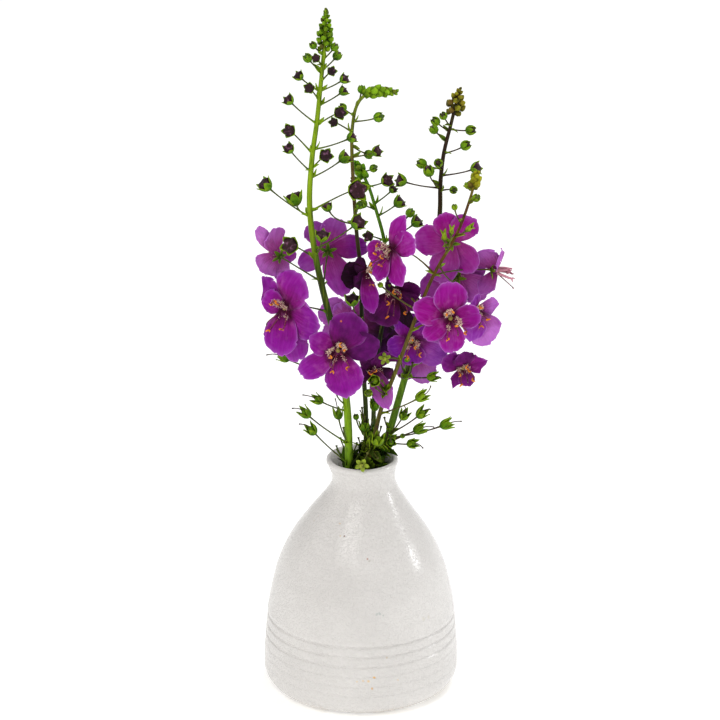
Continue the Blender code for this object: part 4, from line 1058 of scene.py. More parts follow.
def leaf_skin(nodes):
    """Small green leaves: paler veins, a yellow bloom, darker tips and painted shade at the base, with a
    rough surface.
    """
    place = nodes.on_object()
    across, along = nodes.on_sheet()
    mottle = nodes.noise(place, 520.0, 3.0)
    fine = nodes.noise(place, 2400.0, 2.0)
    veins = nodes.step(abs(nodes.maths("SINE", (across - 0.5) * 19.0)), 0.5, 0.0)
    tint = nodes.kept("tint")
    live = nodes.step(nodes.colour_parts(tint)[1], 0.02, 0.16)
    leaf = nodes.layered(
        tint,
        (nodes.step(mottle, 0.52, 0.72) * live * 0.6, "8ea40c"),
        (nodes.step(mottle, 0.5, 0.3) * 0.75, "0c2206"),
        (veins * live * 0.25, "84a614"),
        (nodes.step(abs(across - 0.5), 0.34, 0.5) * live * 0.35, "9cb622"),
        (nodes.step(along, 0.4, 0.85) * live * 0.3, "a0be28"),
        # Painted shade at the base of each leaf and bud, where they crowd together.
        (nodes.step(along, 0.42, 0.05) * 0.6, "0e1e04"),
        (nodes.step(along, 0.9, 1.0) * 0.4, "2c2210"),
    )
    return {
        "Base Color": leaf,
        "Roughness": 0.5 + fine * 0.25,
        "Normal": nodes.bump(veins * 0.4 + fine, 0.6, 0.0001),
        "Specular IOR Level": 0.08,
    }


def bud_skin(nodes):
    """Closed petals of a bud: dark, satiny and finely wrinkled, with a lilac bloom and painted lilac
    highlights in patches.
    """
    place = nodes.on_object()
    wrinkle = nodes.noise(nodes.scaled(place, (1900.0, 1900.0, 800.0)), 1.0, 3.0)
    cloud = nodes.noise(place, 640.0, 2.0)
    bud = nodes.layered(
        nodes.kept("tint"),
        (nodes.step(cloud, 0.5, 0.72) * 0.4, "7c4866"),
        # Painted highlights: paler lilac patches over the lilac bloom.
        (nodes.step(cloud, 0.58, 0.78) * 0.32, "a8749a"),
        (nodes.step(wrinkle, 0.5, 0.3) * 0.5, "0c040a"),
    )
    return {
        "Base Color": bud,
        "Roughness": 0.35 + wrinkle * 0.3,
        "Normal": nodes.bump(wrinkle, 0.6, 0.0002),
        "Specular IOR Level": 0.2,
    }


def filament_skin(nodes):
    """Smooth filaments and styles in their own colour, streaked with pink."""
    streak = nodes.noise(nodes.on_object(), 1800.0, 2.0)
    colour = nodes.layered(nodes.kept("tint"), (nodes.step(streak, 0.4, 0.7) * 0.5, "c0506c"))
    return {"Base Color": colour, "Roughness": 0.4 + streak * 0.2, "Specular IOR Level": 0.4}


def wool_skin(nodes):
    """Pale wool that is pink in patches."""
    patch = nodes.noise(nodes.on_object(), 700.0, 2.0)
    colour = nodes.layered(paint("f6dcc4"), (nodes.step(patch, 0.5, 0.75) * 0.7, "cc7a78"))
    return {"Base Color": colour, "Roughness": 0.6 + patch * 0.2, "Specular IOR Level": 0.2}


def anther_skin(nodes):
    """Orange anthers, grainy with pollen."""
    place = nodes.on_object()
    grains = nodes.cells(place, 6500.0)
    patch = nodes.noise(place, 900.0, 2.0)
    colour = nodes.layered(
        paint("f49a30"),
        (nodes.step(patch, 0.42, 0.68), "d0641a"),
        (nodes.step(grains, 0.5, 0.9) * 0.5, "7a2c10"),
    )
    return {
        "Base Color": colour,
        "Roughness": 0.7 + patch * 0.2,
        "Normal": nodes.bump(grains, 0.8, 0.00008),
        "Specular IOR Level": 0.2,
    }


def on_vase(outline, right, up):
    """The place on the front of the vase that the front view shows at (right, up)."""
    depth = FRONT_OF_VASE
    for _ in range(12):
        height = max((sighted(right, up, depth) / MM).z, 0.5)
        depth = -math.sqrt(max(outside_radius(outline, height) ** 2 - right**2, 0.0))
    return sighted(right, up, depth)


def white_glaze(nodes):
    """White glaze with a sandy bloom, fine pits, faint turning rings and a few chips and smudges."""
    place = nodes.on_object()
    height = nodes.parts(place)[2]
    cloud = nodes.noise(place, 38.0, 4.0)
    sand = nodes.noise(place, 1500.0, 3.0, 0.7)
    ragged = nodes.noise(place, 700.0, 3.0) - 0.5
    glaze = nodes.layered(
        paint("dfdcd9"),
        (nodes.step(cloud, 0.35, 0.7), "d9d6d3"),
        (nodes.step(sand, 0.55, 0.75) * 0.35, "bdbab3"),
    )
    outline = outside_outline()
    for where, radius, strength, colour in GLAZE_MARKS:
        away = nodes.vector_maths("DISTANCE", {0: place, 1: on_vase(outline, *where)}, "Value")
        spot = nodes.step(away + ragged * 2.2 * radius * MM, radius * MM, 0.35 * radius * MM)
        glaze = nodes.layered(glaze, (spot * strength, colour))
    foot = nodes.step(height, 0.0045, 0.0) * nodes.step(cloud + ragged * 0.6, 0.35, 0.6)
    glaze = nodes.layered(glaze, (foot * 0.6, "c2b49c"))
    pits = nodes.step(nodes.noise(place, 1250.0, 1.0), 0.5, 0.6)
    rings = nodes.noise(nodes.scaled(place, (12.0, 12.0, 900.0)), 1.0, 2.0)
    dents = nodes.bump(cloud + rings * 0.25, 0.35, 0.0006)
    rough = nodes.bump(sand * 0.25 + pits, 0.8, 0.00017, dents)
    return {
        "Base Color": glaze,
        "Roughness": 0.13 + sand * 0.1 + cloud * 0.04,
        "Normal": rough,
        "Specular IOR Level": 0.5,
    }


def clear_water(nodes):
    """Water with a faint ripple."""
    ripple = nodes.noise(nodes.on_object(), 90.0, 2.0)
    return {
        "Base Color": (0.9, 0.97, 0.95, 1.0),
        "Roughness": 0.02 + ripple * 0.03,
        "Normal": nodes.bump(ripple, 0.1, 0.0002),
        "Transmission Weight": 1.0,
        "IOR": 1.33,
    }


def floor_paper(nodes):
    """White paper that glows a little, so that its shadows stay pale."""
    fibre = nodes.noise(nodes.on_object(), 60.0, 3.0)
    return {
        "Base Color": nodes.layered(paint("fbfbfa"), (fibre, "f8f8f7")),
        "Roughness": 0.8 + fibre * 0.1,
        "Specular IOR Level": 0.1,
        "Emission Color": (1.0, 1.0, 1.0, 1.0),
        "Emission Strength": 0.3,
    }


def in_scene(name, data):
    """A new object of the scene that shows this data."""
    made = bpy.data.objects.new(name, data)
    bpy.context.scene.collection.objects.link(made)
    return made


def shape(name, corners, sides=(), edges=(), marks=None):
    """A new mesh object, with named values at its corners as (kind, one value for each corner)."""
    mesh = bpy.data.meshes.new(name)
    mesh.from_pydata([tuple(corner) for corner in corners], edges, sides)
    for mark, (kind, values) in (marks or {}).items():
        layer = mesh.attributes.new(mark, kind, "POINT")
        field = {"FLOAT": "value", "INT": "value", "FLOAT_VECTOR": "vector", "FLOAT_COLOR": "color"}[kind]
        flat = values if field == "value" else [part for value in values for part in value]
        layer.data.foreach_set(field, flat)
    return in_scene(name, mesh)


def map_corners(made, readings):
    """Gives every corner of every face its place on the petal or leaf, as (across, along)."""
    layer = made.data.uv_layers.new(name="petal")
    for corner in made.data.loops:
        layer.data[corner.index].uv = readings[corner.vertex_index]


def settled(made):
    """The object with what its modifiers make as its plain mesh."""
    graph = bpy.context.evaluated_depsgraph_get()
    mesh = bpy.data.meshes.new_from_object(made.evaluated_get(graph), depsgraph=graph)
    mesh.name = made.name
    made.modifiers.clear()
    made.data = mesh
    return made


def thickened(made, thickness):
    """A sheet given a thickness, half on either side."""
    wall = made.modifiers.new("Thickness", "SOLIDIFY")
    wall.thickness = thickness * MM
    wall.offset = 0.0
    wall.use_even_offset = False
    return settled(made)


def upright(made):
    """The mesh with all its faces pointing outwards."""
    bm = bmesh.new()
    bm.from_mesh(made.data)
    bmesh.ops.recalc_face_normals(bm, faces=bm.faces)
    bm.to_mesh(made.data)
    bm.free()
    return made


def lattice(rows, columns, start=0):
    """Faces of a sheet whose corners go row by row."""
    for row in range(rows - 1):
        for column in range(columns - 1):
            low = start + row * columns + column
            yield low, low + 1, low + columns + 1, low + columns


def tube_sides(rings, count):
    """Faces of an open tube whose corners go ring by ring."""
    for low in range(0, (rings - 1) * count, count):
        for side in range(count):
            after = (side + 1) % count
            yield low + side, low + after, low + count + after, low + count + side


def new_recipe(name, inputs):
    """An empty Geometry Nodes tree with named inputs, and the geometry that comes in."""
    tree = bpy.data.node_groups.new(name, "GeometryNodeTree")
    tree.interface.new_socket("Geometry", in_out="INPUT", socket_type="NodeSocketGeometry")
    for label, kind, value in inputs:
        socket = tree.interface.new_socket(label, in_out="INPUT", socket_type=f"NodeSocket{kind}")
        if value is not None:
            socket.default_value = value
    tree.interface.new_socket("Geometry", in_out="OUTPUT", socket_type="NodeSocketGeometry")
    nodes = Nodes(tree)
    entry = nodes.add("NodeGroupInput", None, None, None)
    return nodes, {socket.name: Wire(nodes, socket) for socket in entry.outputs if socket.name}


def named(nodes, mark, kind="FLOAT"):
    """A named value of the geometry."""
    return nodes.add("GeometryNodeInputNamedAttribute", {"data_type": kind}, {"Name": mark})


def dressed(nodes, geometry, finish):
    """The end of a branch: real geometry in its material."""
    real = nodes.add("GeometryNodeRealizeInstances", None, {"Geometry": geometry})
    return nodes.add("GeometryNodeSetMaterial", None, {"Geometry": real, "Material": finish})


def deliver(nodes, geometry):
    """Links the finished geometry to the tree's output."""
    nodes.add("NodeGroupOutput", None, {0: geometry}, None)
    return nodes.tree


def rolled(nodes, axis, towards, angle):
    """A rotation that aims an axis of a shape at a direction and turns the shape about that axis."""
    aim = nodes.add("FunctionNodeAlignRotationToVector", {"axis": axis}, {"Vector": towards})
    own_axis = tuple(float(letter == axis) for letter in "XYZ")
    spin = nodes.add("FunctionNodeAxisAngleToRotation", None, {"Axis": own_axis, "Angle": angle})
    inputs = {"Rotation": aim, "Rotate By": spin}
    return nodes.add("FunctionNodeRotateRotation", {"rotation_space": "LOCAL"}, inputs)


def random_number(nodes, low, high, seed):
    """A random number between two others."""
    inputs = {"Min_001": low, "Max_001": high, "Seed": seed}
    return nodes.add("FunctionNodeRandomValue", {"data_type": "FLOAT"}, inputs, "Value_001")


def repeated(nodes, points, thing, **inputs):
    """A copy of an object at each point."""
    copy = nodes.add("GeometryNodeObjectInfo", None, {"Object": thing}, "Geometry")
    return nodes.add("GeometryNodeInstanceOnPoints", None, {"Points": points, "Instance": copy, **inputs})


def stalks_from_lines(nodes, lines, sides, ridge):
    """Tubes along lines, as thick as the lines say, with soft lengthwise ridges."""
    profile = nodes.add("GeometryNodeCurvePrimitiveCircle", None, {"Resolution": sides, "Radius": 1.0})
    turn = nodes.add("GeometryNodeInputIndex") * (FULL_TURN / 3.0)
    swell = nodes.maths("COSINE", turn) * ridge
    spread = nodes.vector_maths("SCALE", {0: nodes.add("GeometryNodeInputPosition"), "Scale": swell})
    profile = nodes.add("GeometryNodeSetPosition", None, {"Geometry": profile, "Offset": spread})
    curve = nodes.add("GeometryNodeMeshToCurve", None, {"Mesh": lines})
    inputs = {"Curve": curve, "Profile Curve": profile, "Scale": named(nodes, "thickness"), "Fill Caps": True}
    tubes = nodes.add("GeometryNodeCurveToMesh", None, inputs)
    return curve, nodes.add("GeometryNodeSetShadeSmooth", None, {"Geometry": tubes})


def stalk_recipe():
    """Stems and stalks: a tube along every line that comes in."""
    inputs = (("Sides", "Int", 15), ("Ridge", "Float", 0.06), ("Skin", "Material", None))
    nodes, given = new_recipe("stalks_along_lines", inputs)
    _, tubes = stalks_from_lines(nodes, given["Geometry"], given["Sides"], given["Ridge"])
    return deliver(nodes, dressed(nodes, tubes, given["Skin"]))


def growth_recipe():
    """Buds, leaves and pods: at every point, the kind that it asks for, turned and sized as it says."""
    inputs = (("Kinds", "Collection", None), ("Skin", "Material", None))
    nodes, given = new_recipe("growths_on_points", inputs)
    inputs = {"Collection": given["Kinds"], "Separate Children": True}
    kinds = nodes.add("GeometryNodeCollectionInfo", None, inputs)
    inputs = {
        "Points": given["Geometry"],
        "Instance": kinds,
        "Pick Instance": True,
        "Instance Index": named(nodes, "kind", "INT"),
        "Rotation": rolled(nodes, "Z", named(nodes, "towards", "FLOAT_VECTOR"), named(nodes, "spin")),
        "Scale": named(nodes, "size"),
    }
    placed = nodes.add("GeometryNodeInstanceOnPoints", None, inputs)
    return deliver(nodes, dressed(nodes, placed, given["Skin"]))


def anther_instances(nodes, curve, anther, seed):
    """An anther across the end of every filament that bears one."""
    tip = nodes.add("GeometryNodeCurveEndpointSelection", None, {"Start Size": 0, "End Size": 1})
    bears = nodes.maths("MULTIPLY", tip, named(nodes, "fertile"))
    along = nodes.add("GeometryNodeInputTangent")
    turned = rolled(nodes, "X", along, random_number(nodes, -ANTHER_ROLL, ANTHER_ROLL, seed))
    return repeated(nodes, curve, anther, Selection=bears, Rotation=turned)


def wool_instances(nodes, curve, hair, count, seed):
    """Woolly hairs that stand out all round the middle of each filament."""
    fine = nodes.add("GeometryNodeResampleCurve", None, {"Curve": curve, "Count": count})
    share = nodes.add("GeometryNodeSplineParameter", None, None, "Factor")
    upper = nodes.maths("LESS_THAN", share, named(nodes, "woolly"))
    grows = nodes.maths("GREATER_THAN", share, WOOL_START) * upper
    inputs = {"Min": (-3.14, -3.14, -3.14), "Max": (3.14, 3.14, 3.14), "Seed": seed}
    spin = nodes.add("FunctionNodeRandomValue", {"data_type": "FLOAT_VECTOR"}, inputs, "Value")
    turned = nodes.add("FunctionNodeEulerToRotation", None, {"Euler": spin})
    size = random_number(nodes, *WOOL_SIZES, seed + 3)
    return repeated(nodes, fine, hair, Selection=grows, Rotation=turned, Scale=size)


def stamen_recipe():
    """The stamens of one flower: filaments and style along lines, with wool and anthers."""
    inputs = (
        ("Anther", "Object", None),
        ("Hair", "Object", None),
        ("Hairs", "Int", 170),
        ("Seed", "Int", 1),
        ("Filament skin", "Material", None),
        ("Wool skin", "Material", None),
        ("Anther skin", "Material", None),
    )
    nodes, given = new_recipe("stamens_on_lines", inputs)
    curve, tubes = stalks_from_lines(nodes, given["Geometry"], 6, 0.0)
    anthers = anther_instances(nodes, curve, given["Anther"], given["Seed"])
    wool = wool_instances(nodes, curve, given["Hair"], given["Hairs"], given["Seed"])
    join = nodes.tree.nodes.new("GeometryNodeJoinGeometry")
    for branch, skin in ((tubes, "Filament skin"), (anthers, "Anther skin"), (wool, "Wool skin")):
        nodes.tree.links.new(dressed(nodes, branch, given[skin]).socket, join.inputs[0])
    return deliver(nodes, Wire(nodes, join.outputs[0]))


def grown(made, recipe, values):
    """Runs a Geometry Nodes tree on an object and keeps the result as its plain mesh."""
    growth = made.modifiers.new("Growth", "NODES")
    growth.node_group = recipe
    for item in recipe.interface.items_tree:
        if item.in_out == "INPUT" and item.name in values:
            growth[item.identifier] = values[item.name]
    return settled(made)


def finished(piece, slot, *nodes):
    """Hands a finished piece over to the frame in place of its CAD nodes."""
    piece.data.shade_smooth()
    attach(piece, "root")
    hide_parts(*nodes)


class Places:
    """Points that something grows on, with edges between them or not, and named values at each."""

    def __init__(self, **kinds):
        self.kinds = kinds
        self.corners, self.edges = [], []
        self.values = {mark: [] for mark in kinds}

    def point(self, place, **values):
        self.corners.append(place)
        for mark, value in values.items():
            self.values[mark].append(value)

    def as_object(self, name):
        marks = {mark: (kind, self.values[mark]) for mark, kind in self.kinds.items()}
        return shape(name, self.corners, edges=self.edges, marks=marks)


class Lines(Places):
    """Centre lines of stalks, with a thickness and a colour at every point."""

    def __init__(self):
        super().__init__(thickness="FLOAT", tint="FLOAT_COLOR", fertile="FLOAT", woolly="FLOAT")

    def add(self, path, radii, tints, fertile=0.0, woolly=0.0):
        start = len(self.corners)
        self.edges += [(start + step, start + step + 1) for step in range(len(path) - 1)]
        for place, radius, tint in zip(path, radii, tints, strict=True):
            self.point(place, thickness=radius * MM, tint=tint, fertile=fertile, woolly=woolly)


class Growths(Places):
    """Points where something grows: which kind, which way it points, its size, turn and colour."""

    def __init__(self):
        super().__init__(kind="INT", towards="FLOAT_VECTOR", size="FLOAT", spin="FLOAT", tint="FLOAT_COLOR")

    def add(self, kind, place, towards, size, spin, tint):
        self.point(place, kind=kind, towards=towards, size=size, spin=spin, tint=tint)


def folded_bud(name, outline, folds=0.1, count=10, swirl=0.0, opening=0.0):
    """A closed bud round Z from its (height, radius), with five folds that may deepen upwards."""
    corners, readings = [], []
    for row, (height, radius) in enumerate(outline[1:-1]):
        for side in range(count):
            depth = folds + opening * row / len(outline)
            reach = radius * (1.0 + depth * math.cos(5.0 * FULL_TURN * side / count))
            corners.append(round_axis(reach, FULL_TURN * side / count + swirl * height, height))
            readings.append((side / count, row / len(outline)))
    rows = len(outline) - 2
    sides = list(tube_sides(rows, count))
    for end, first in ((0, 0), (-1, (rows - 1) * count)):
        pole = len(corners)
        corners.append(Vector((0.0, 0.0, outline[end][0])) * MM)
        readings.append((0.5, float(end != 0)))
        ring = [(first + side, first + (side + 1) % count) for side in range(count)]
        sides += [(b, a, pole) if end == 0 else (a, b, pole) for a, b in ring]
    made = shape(name, corners, sides)
    map_corners(made, readings)
    return made


def leaf_whorl(name, course, leaves=5, thickness=0.24, first=0.0, swirl=0.0):
    """Leaves round Z that follow (height, radius, half width) from base to tip."""
    corners, readings, sides = [], [], []
    for leaf in range(leaves):
        middle = first + FULL_TURN * leaf / leaves
        sides += lattice(len(course), len(LEAF_COLUMNS), len(corners))
        for row, (height, radius, half) in enumerate(course):
            for column in LEAF_COLUMNS:
                reach = radius + swirl * column * row / len(course)
                corners.append(round_axis(reach, middle + column * half / max(radius, 0.8), height))
                readings.append((0.5 + 0.5 * column, row / (len(course) - 1)))
    made = shape(name, corners, sides)
    map_corners(made, readings)
    return thickened(made, thickness)


def bract(name, length, width):
    """One small pointed leaf that leans out from Z and folds along its middle."""
    corners, readings = [], []
    for share, wide in BRACT_COURSE:
        for column in LEAF_COLUMNS:
            out = length * (0.12 * share + 0.34 * share**2) - 0.3 * width * wide * column**2
            corners.append(Vector((out, 0.5 * width * wide * column, length * share * 0.94)) * MM)
            readings.append((0.5 + 0.5 * column, share))
    made = shape(name, corners, list(lattice(len(BRACT_COURSE), len(LEAF_COLUMNS))))
    map_corners(made, readings)
    return thickened(made, 0.22)


def bent_capsule(name, length, radius, bend, rings, count):
    """A kidney shape across Z: a round-ended roll along Y, bent forward."""
    corners = []
    for ring in range(rings):
        share = (ring + 0.5) / rings * 2.0 - 1.0
        swell = math.sqrt(max(1.0 - share**2, 0.0)) ** 0.7 * (1.0 - 0.18 * (1.0 - abs(share)))
        middle = Vector((-bend * share**2, 0.5 * length * share, 0.0))
        for side in range(count):
            angle = FULL_TURN * side / count
            out = Vector((math.cos(angle), 0.0, -math.sin(angle)))
            corners.append((middle + out * (radius * swell)) * MM)
    caps = (tuple(reversed(range(count))), tuple(range((rings - 1) * count, rings * count)))
    return upright(shape(name, corners, [*tube_sides(rings, count), *caps]))


def curved_hair(name, length, radius):
    """One wool hair along Z, bent and tapering."""
    corners = []
    for share, thick in ((0.0, 1.0), (0.5, 0.85), (1.0, 0.35)):
        for side in range(3):
            angle = FULL_TURN * side / 3.0
            out = radius * thick * math.cos(angle) + 0.3 * length * share**2
            corners.append(Vector((out, radius * thick * math.sin(angle), length * share)) * MM)
    return upright(shape(name, corners, [*tube_sides(3, 3), (2, 1, 0), (6, 7, 8)]))


def joined(name, *parts):
    """Several meshes as one object."""
    bm = bmesh.new()
    for part in parts:
        bm.from_mesh(part.data)
        bpy.data.objects.remove(part)
    mesh = bpy.data.meshes.new(name)
    bm.to_mesh(mesh)
    bm.free()
    return in_scene(name, mesh)


def gathered(name, *parts):
    """A collection of shapes that a tree picks from, kept out of the scene itself."""
    home = bpy.data.collections.new(name)
    for part in parts:
        bpy.context.scene.collection.objects.unlink(part)
        home.objects.link(part)
    return home


def green_kinds():
    """The green growths: calyces, pods, small buds, bracts and leaves."""
    pod_body = folded_bud("pod_body", POD_BODY, 0.05)
    tight_body = folded_bud("tight_body", TIGHT_BODY, 0.1, swirl=0.15)
    return gathered(
        "green_kinds",
        leaf_whorl("kind_0_star_sepals", STAR_COURSE, thickness=0.26),
        joined("kind_1_pod", pod_body, leaf_whorl("pod_sepals", POD_COURSE, thickness=0.3, swirl=0.16)),
        leaf_whorl("kind_2_seat", SEAT_COURSE, first=0.3),
        joined("kind_3_tight", tight_body, leaf_whorl("tight_sepals", TIGHT_COURSE, thickness=0.26)),
        joined("kind_4_end_bud", folded_bud("end_body", END_BODY, 0.12)),
        bract("kind_5_bract", 3.4, 1.3),
        bract("kind_6_leaf", 6.0, 3.0),
        leaf_whorl("kind_7_open_star", OPEN_STAR_COURSE, first=0.3),
    )


def dark_kinds():
    """The dark closed petals that show in the calyces."""
    return gathered(
        "dark_kinds",
        folded_bud("dark_0_star_body", STAR_BODY_OUTLINE, 0.04, count=20, swirl=0.03, opening=0.32),
        folded_bud("dark_1_tight_tip", TIGHT_TIP_BODY, 0.12),
    )


def add_stalk(lines, plant, root, end, axis, joins):
    """One flower stalk from the stem to the end, where it runs along the axis, swollen at both ends."""
    bend = end - axis * (end - root).length * STALK_BEND
    path = [root.lerp(bend, share).lerp(bend.lerp(end, share), share) for share in CURVE_SHARES]
    skin, colour = graded_paint(plant["skin"], joins), paint(plant["stalk"])
    tints = [blend_paint(skin, colour, min(1.0, step / STALK_FADE)) for step in range(len(path))]
    lines.add(path, STALK_RADII, tints)


def add_dry_style(lines, place, axis, chance):
    """The dry style that stays on a pod, thin and bent."""
    side = axis.cross(Vector((chance.uniform(-1, 1), chance.uniform(-1, 1), 0.4))).normalized()
    start = place + axis * POD_TIP * MM
    bends = [axis * share + side * share**2 * 0.45 for share in DRY_STYLE_SHARES]
    path = [start + bend * DRY_STYLE_LENGTH * MM for bend in bends]
    lines.add(path, DRY_STYLE_RADII, [paint(STYLE_COLOUR)] * len(path))


def add_bract(growths, root, direction, size, tint, chance):
    """A bract under a stalk."""
    lean = (direction + Vector((0.0, -0.2, 0.25))).normalized()
    growths.add(BRACT, root, lean, size, chance.uniform(0.0, ANY_TURN), tint)


def end_taper(share):
    """How thick a growing end is along its length, against its thickest place."""
    if share < END_THICKEST:
        return 0.7 + 1.2 * share
    return 1.0 - 0.85 * ((share - END_THICKEST) / (1.0 - END_THICKEST)) ** 1.45


def add_growing_end(name, growths, chance):
    """The plant's growing end: small buds in a spiral, ever smaller towards the tip."""
    length, greatest = STEMS[name]["tip"]
    plant = PLANTS[name]
    path = stem_path(name, GROWTH_STEPS)
    along = lengths_along(path)
    count = round(length * 2.0 / plant["beads"])
    for bud in range(count):
        share = bud / (count - 1)
        place, axis = point_along(path, along, along[-1] - length * MM * (1.0 - share))
        taper = end_taper(share)
        size = (END_LEAST_BUD + END_BUD_GAIN * taper) * plant["beads"]
        side = axis.orthogonal().normalized()
        angle = bud * GOLDEN_ANGLE
        out = side * math.cos(angle) + axis.cross(side) * math.sin(angle)
        seat = place + out * max(END_SPREAD * greatest * taper - END_SUNK * size, 0.05) * MM
        tint = shifted(paint(plant["end"]), chance, 0.4)
        if chance.random() < BROWN_BUDS:
            tint = blend_paint(tint, paint("5c2c2c"), BROWN_SHARE)
        growths.add(END_BUD, seat, (out + axis * 0.9).normalized(), size, angle, tint)
        if bud % 3 == 0:
            lean = (out * 0.8 + axis).normalized()
            growths.add(BRACT, seat, lean, END_BRACT * size, angle, shifted(tint, chance))


def add_tuft(green, place, axis, size, spin, tint):
    """A small closed tuft: one end bud with three bracts that lean in round it."""
    turned = UPWARDS.rotation_difference(axis)
    green.add(END_BUD, place + axis * 0.5 * size * MM, axis, TUFT_BUD * size, spin, tint)
    for turn in range(TUFT_BRACTS):
        angle = spin + FULL_TURN * turn / TUFT_BRACTS
        out = turned @ Vector((math.cos(angle), math.sin(angle), 0.0))
        lean = (axis - out * TUFT_LEAN).normalized()
        green.add(BRACT, place + out * 0.5 * size * MM, lean, TUFT_BRACT * size, angle, tint)


def add_bud(name, bud, lines, green, dark, chance):
    """One bud or pod with its stalk, bract, calyx and what it holds."""
    kind, joins, right, up, depth, size, way = bud
    plant = PLANTS[name]
    root, place = stem_point(name, joins), sighted(right, up, depth)
    axis = bud_axis(way, root, place)
    direction = (place - root).normalized()
    spin = chance.uniform(0.0, ANY_TURN)
    # Painted shade: growths low in the vase's mouth are darkened towards near black.
    shade = min(max((SHADE_TOP - up) / SHADE_DEPTH, 0.0), SHADE_MOST)
    shade *= 1.0 if kind == "leaf" else SHADE_ON_BUDS
    leaf = blend_paint(shifted(paint(plant["leaf"]), chance), paint("0a1404"), shade)
    add_stalk(lines, plant, root, place + axis * 0.3 * MM, axis, joins)
    tint = blend_paint(leaf, graded_paint(plant["skin"], joins), 0.5)
    add_bract(green, root, direction, 1.0 + 0.4 * chance.random(), tint, chance)
    if kind == "star":
        green.add(STAR_SEPALS, place, axis, STAR_FIT * size, spin, leaf)
        dark.add(STAR_BODY, place, axis, STAR_FIT * size, spin, shifted(paint(plant["bud"]), chance, 0.4))
    elif kind == "pod":
        green.add(POD, place, axis, size, spin, leaf)
        add_dry_style(lines, place, axis, chance)
    elif kind == "open":
        middle = blend_paint(leaf, paint("c8c060"), 0.5)
        green.add(OPEN_STAR, place, axis, size, spin, blend_paint(leaf, paint("b4c050"), 0.6))
        green.add(END_BUD, place + axis * 0.4 * MM, axis, 1.3 * size, spin, middle)
    elif kind == "tuft":
        add_tuft(green, place, axis, size, spin, blend_paint(leaf, paint("a8b03c"), 0.35))
    elif kind == "leaf":
        green.add(LEAF, root, direction, size, spin, leaf)
    else:
        green.add(TIGHT_BUD, place, axis, size, spin, leaf)
        face = blend_paint(leaf, paint(plant["bud"]), chance.uniform(0.3, 1.0))
        dark.add(TIGHT_TIP, place, axis, size, spin, face)


def fits_mouth(tip):
    """Whether a leaf's tip lies inside the neck, or clear of it above the rim."""
    reach = tip.xy.length
    return reach < MOUTH_LEAF_REACH * MM or tip.z > RIM_LEAF_HEIGHT * MM and reach < RIM_LEAF_REACH * MM


def fill_mouth(name, green, chance):
    """Leaves round the stem where it passes the vase's mouth, darkened with painted shade."""
    path = stem_path(name, GROWTH_STEPS)
    for _ in range(MOUTH_LEAVES):
        height = chance.uniform(*MOUTH_LEAF_HEIGHTS) * MM
        low, high = next((low, high) for low, high in zip(path, path[1:]) if low.z <= height <= high.z)
        root = low.lerp(high, (height - low.z) / (high.z - low.z))
        size = chance.uniform(*MOUTH_LEAF_SIZES)
        for _ in range(MOUTH_LEAF_TRIES):
            lean = (chance.uniform(-1, 1), chance.uniform(-1, 1), chance.uniform(0.2, 1.3))
            way = Vector(lean).normalized()
            if fits_mouth(root + way * MOUTH_LEAF_LENGTH * size * MM):
                leaf = shifted(paint(PLANTS[name]["leaf"]), chance)
                # Painted shade: the leaf is darkened as by the shadow inside the vase's mouth.
                leaf = blend_paint(leaf, paint("120e06"), chance.choice(MOUTH_SHADES))
                green.add(LEAF, root, way, size, chance.uniform(0.0, ANY_TURN), leaf)
                break


def add_flower_stalks(name, lines, green, chance):
    """The stalks of the stem's open flowers, each with the green seat of its petals and a bract."""
    plant = PLANTS[name]
    for stem_name, joins, reading, look, _ in BLOOMS.values():
        if stem_name == name:
            axis = facing(*look)
            root, end = stem_point(name, joins), sighted(*reading) - axis * SEAT_HEIGHT * MM
            add_stalk(lines, plant, root, end + axis * 0.4 * MM, axis, joins)
            leaf = shifted(paint(plant["leaf"]), chance)
            seat = blend_paint(leaf, paint("26240c"), 0.5)
            green.add(SEAT, end, axis, 0.85, chance.uniform(0.0, ANY_TURN), seat)
            add_bract(green, root, (end - root).normalized(), 1.1, leaf, chance)


def make_stem(name, recipes, kinds, skins):
    """One flower stem as three pieces: its stalks, its green leaves and pods, and its dark buds."""
    chance = random.Random(name)
    lines, green, dark = Lines(), Growths(), Growths()
    path = stem_path(name, TUBE_STEPS)
    heights = [0.0, *(point.y for point in smooth_path(STEMS[name]["guide"], TUBE_STEPS))]
    along = lengths_along(path)
    thick, thin = STEMS[name]["girth"]
    radii = [thick + (thin - thick) * (distance / along[-1]) ** STEM_TAPER for distance in along]
    lines.add(path, radii, [graded_paint(PLANTS[name]["skin"], up) for up in heights])
    add_growing_end(name, green, chance)
    fill_mouth(name, green, chance)
    for bud in (*BUDS[name], *SMALL_GROWTHS[name]):
        add_bud(name, bud, lines, green, dark, chance)
    add_flower_stalks(name, lines, green, chance)
    stalks = grown(lines.as_object(f"{name}_stalks"), recipes["stalks"], {"Skin": skins["stem_skin"]})
    finished(stalks, SLOTS[name], name)
    for growths, part, kind, skin in (
        (green, "leaves", "green", "leaf_skin"),
        (dark, "buds", "dark", "bud_skin"),
    ):
        if growths.corners:
            values = {"Kinds": kinds[kind], "Skin": skins[skin]}
            piece = grown(growths.as_object(f"{name}_{part}"), recipes["growths"], values)
            finished(piece, SLOTS[name], name)


def petal_axes(middle, tip, face):
    """A petal's length, and its directions: from the flower's middle to its tip, across it and out of it."""
    along = tip - middle
    out = (face - along * face.dot(along) / along.length_squared).normalized()
    return along.length / MM, along.normalized(), out.cross(along).normalized(), out


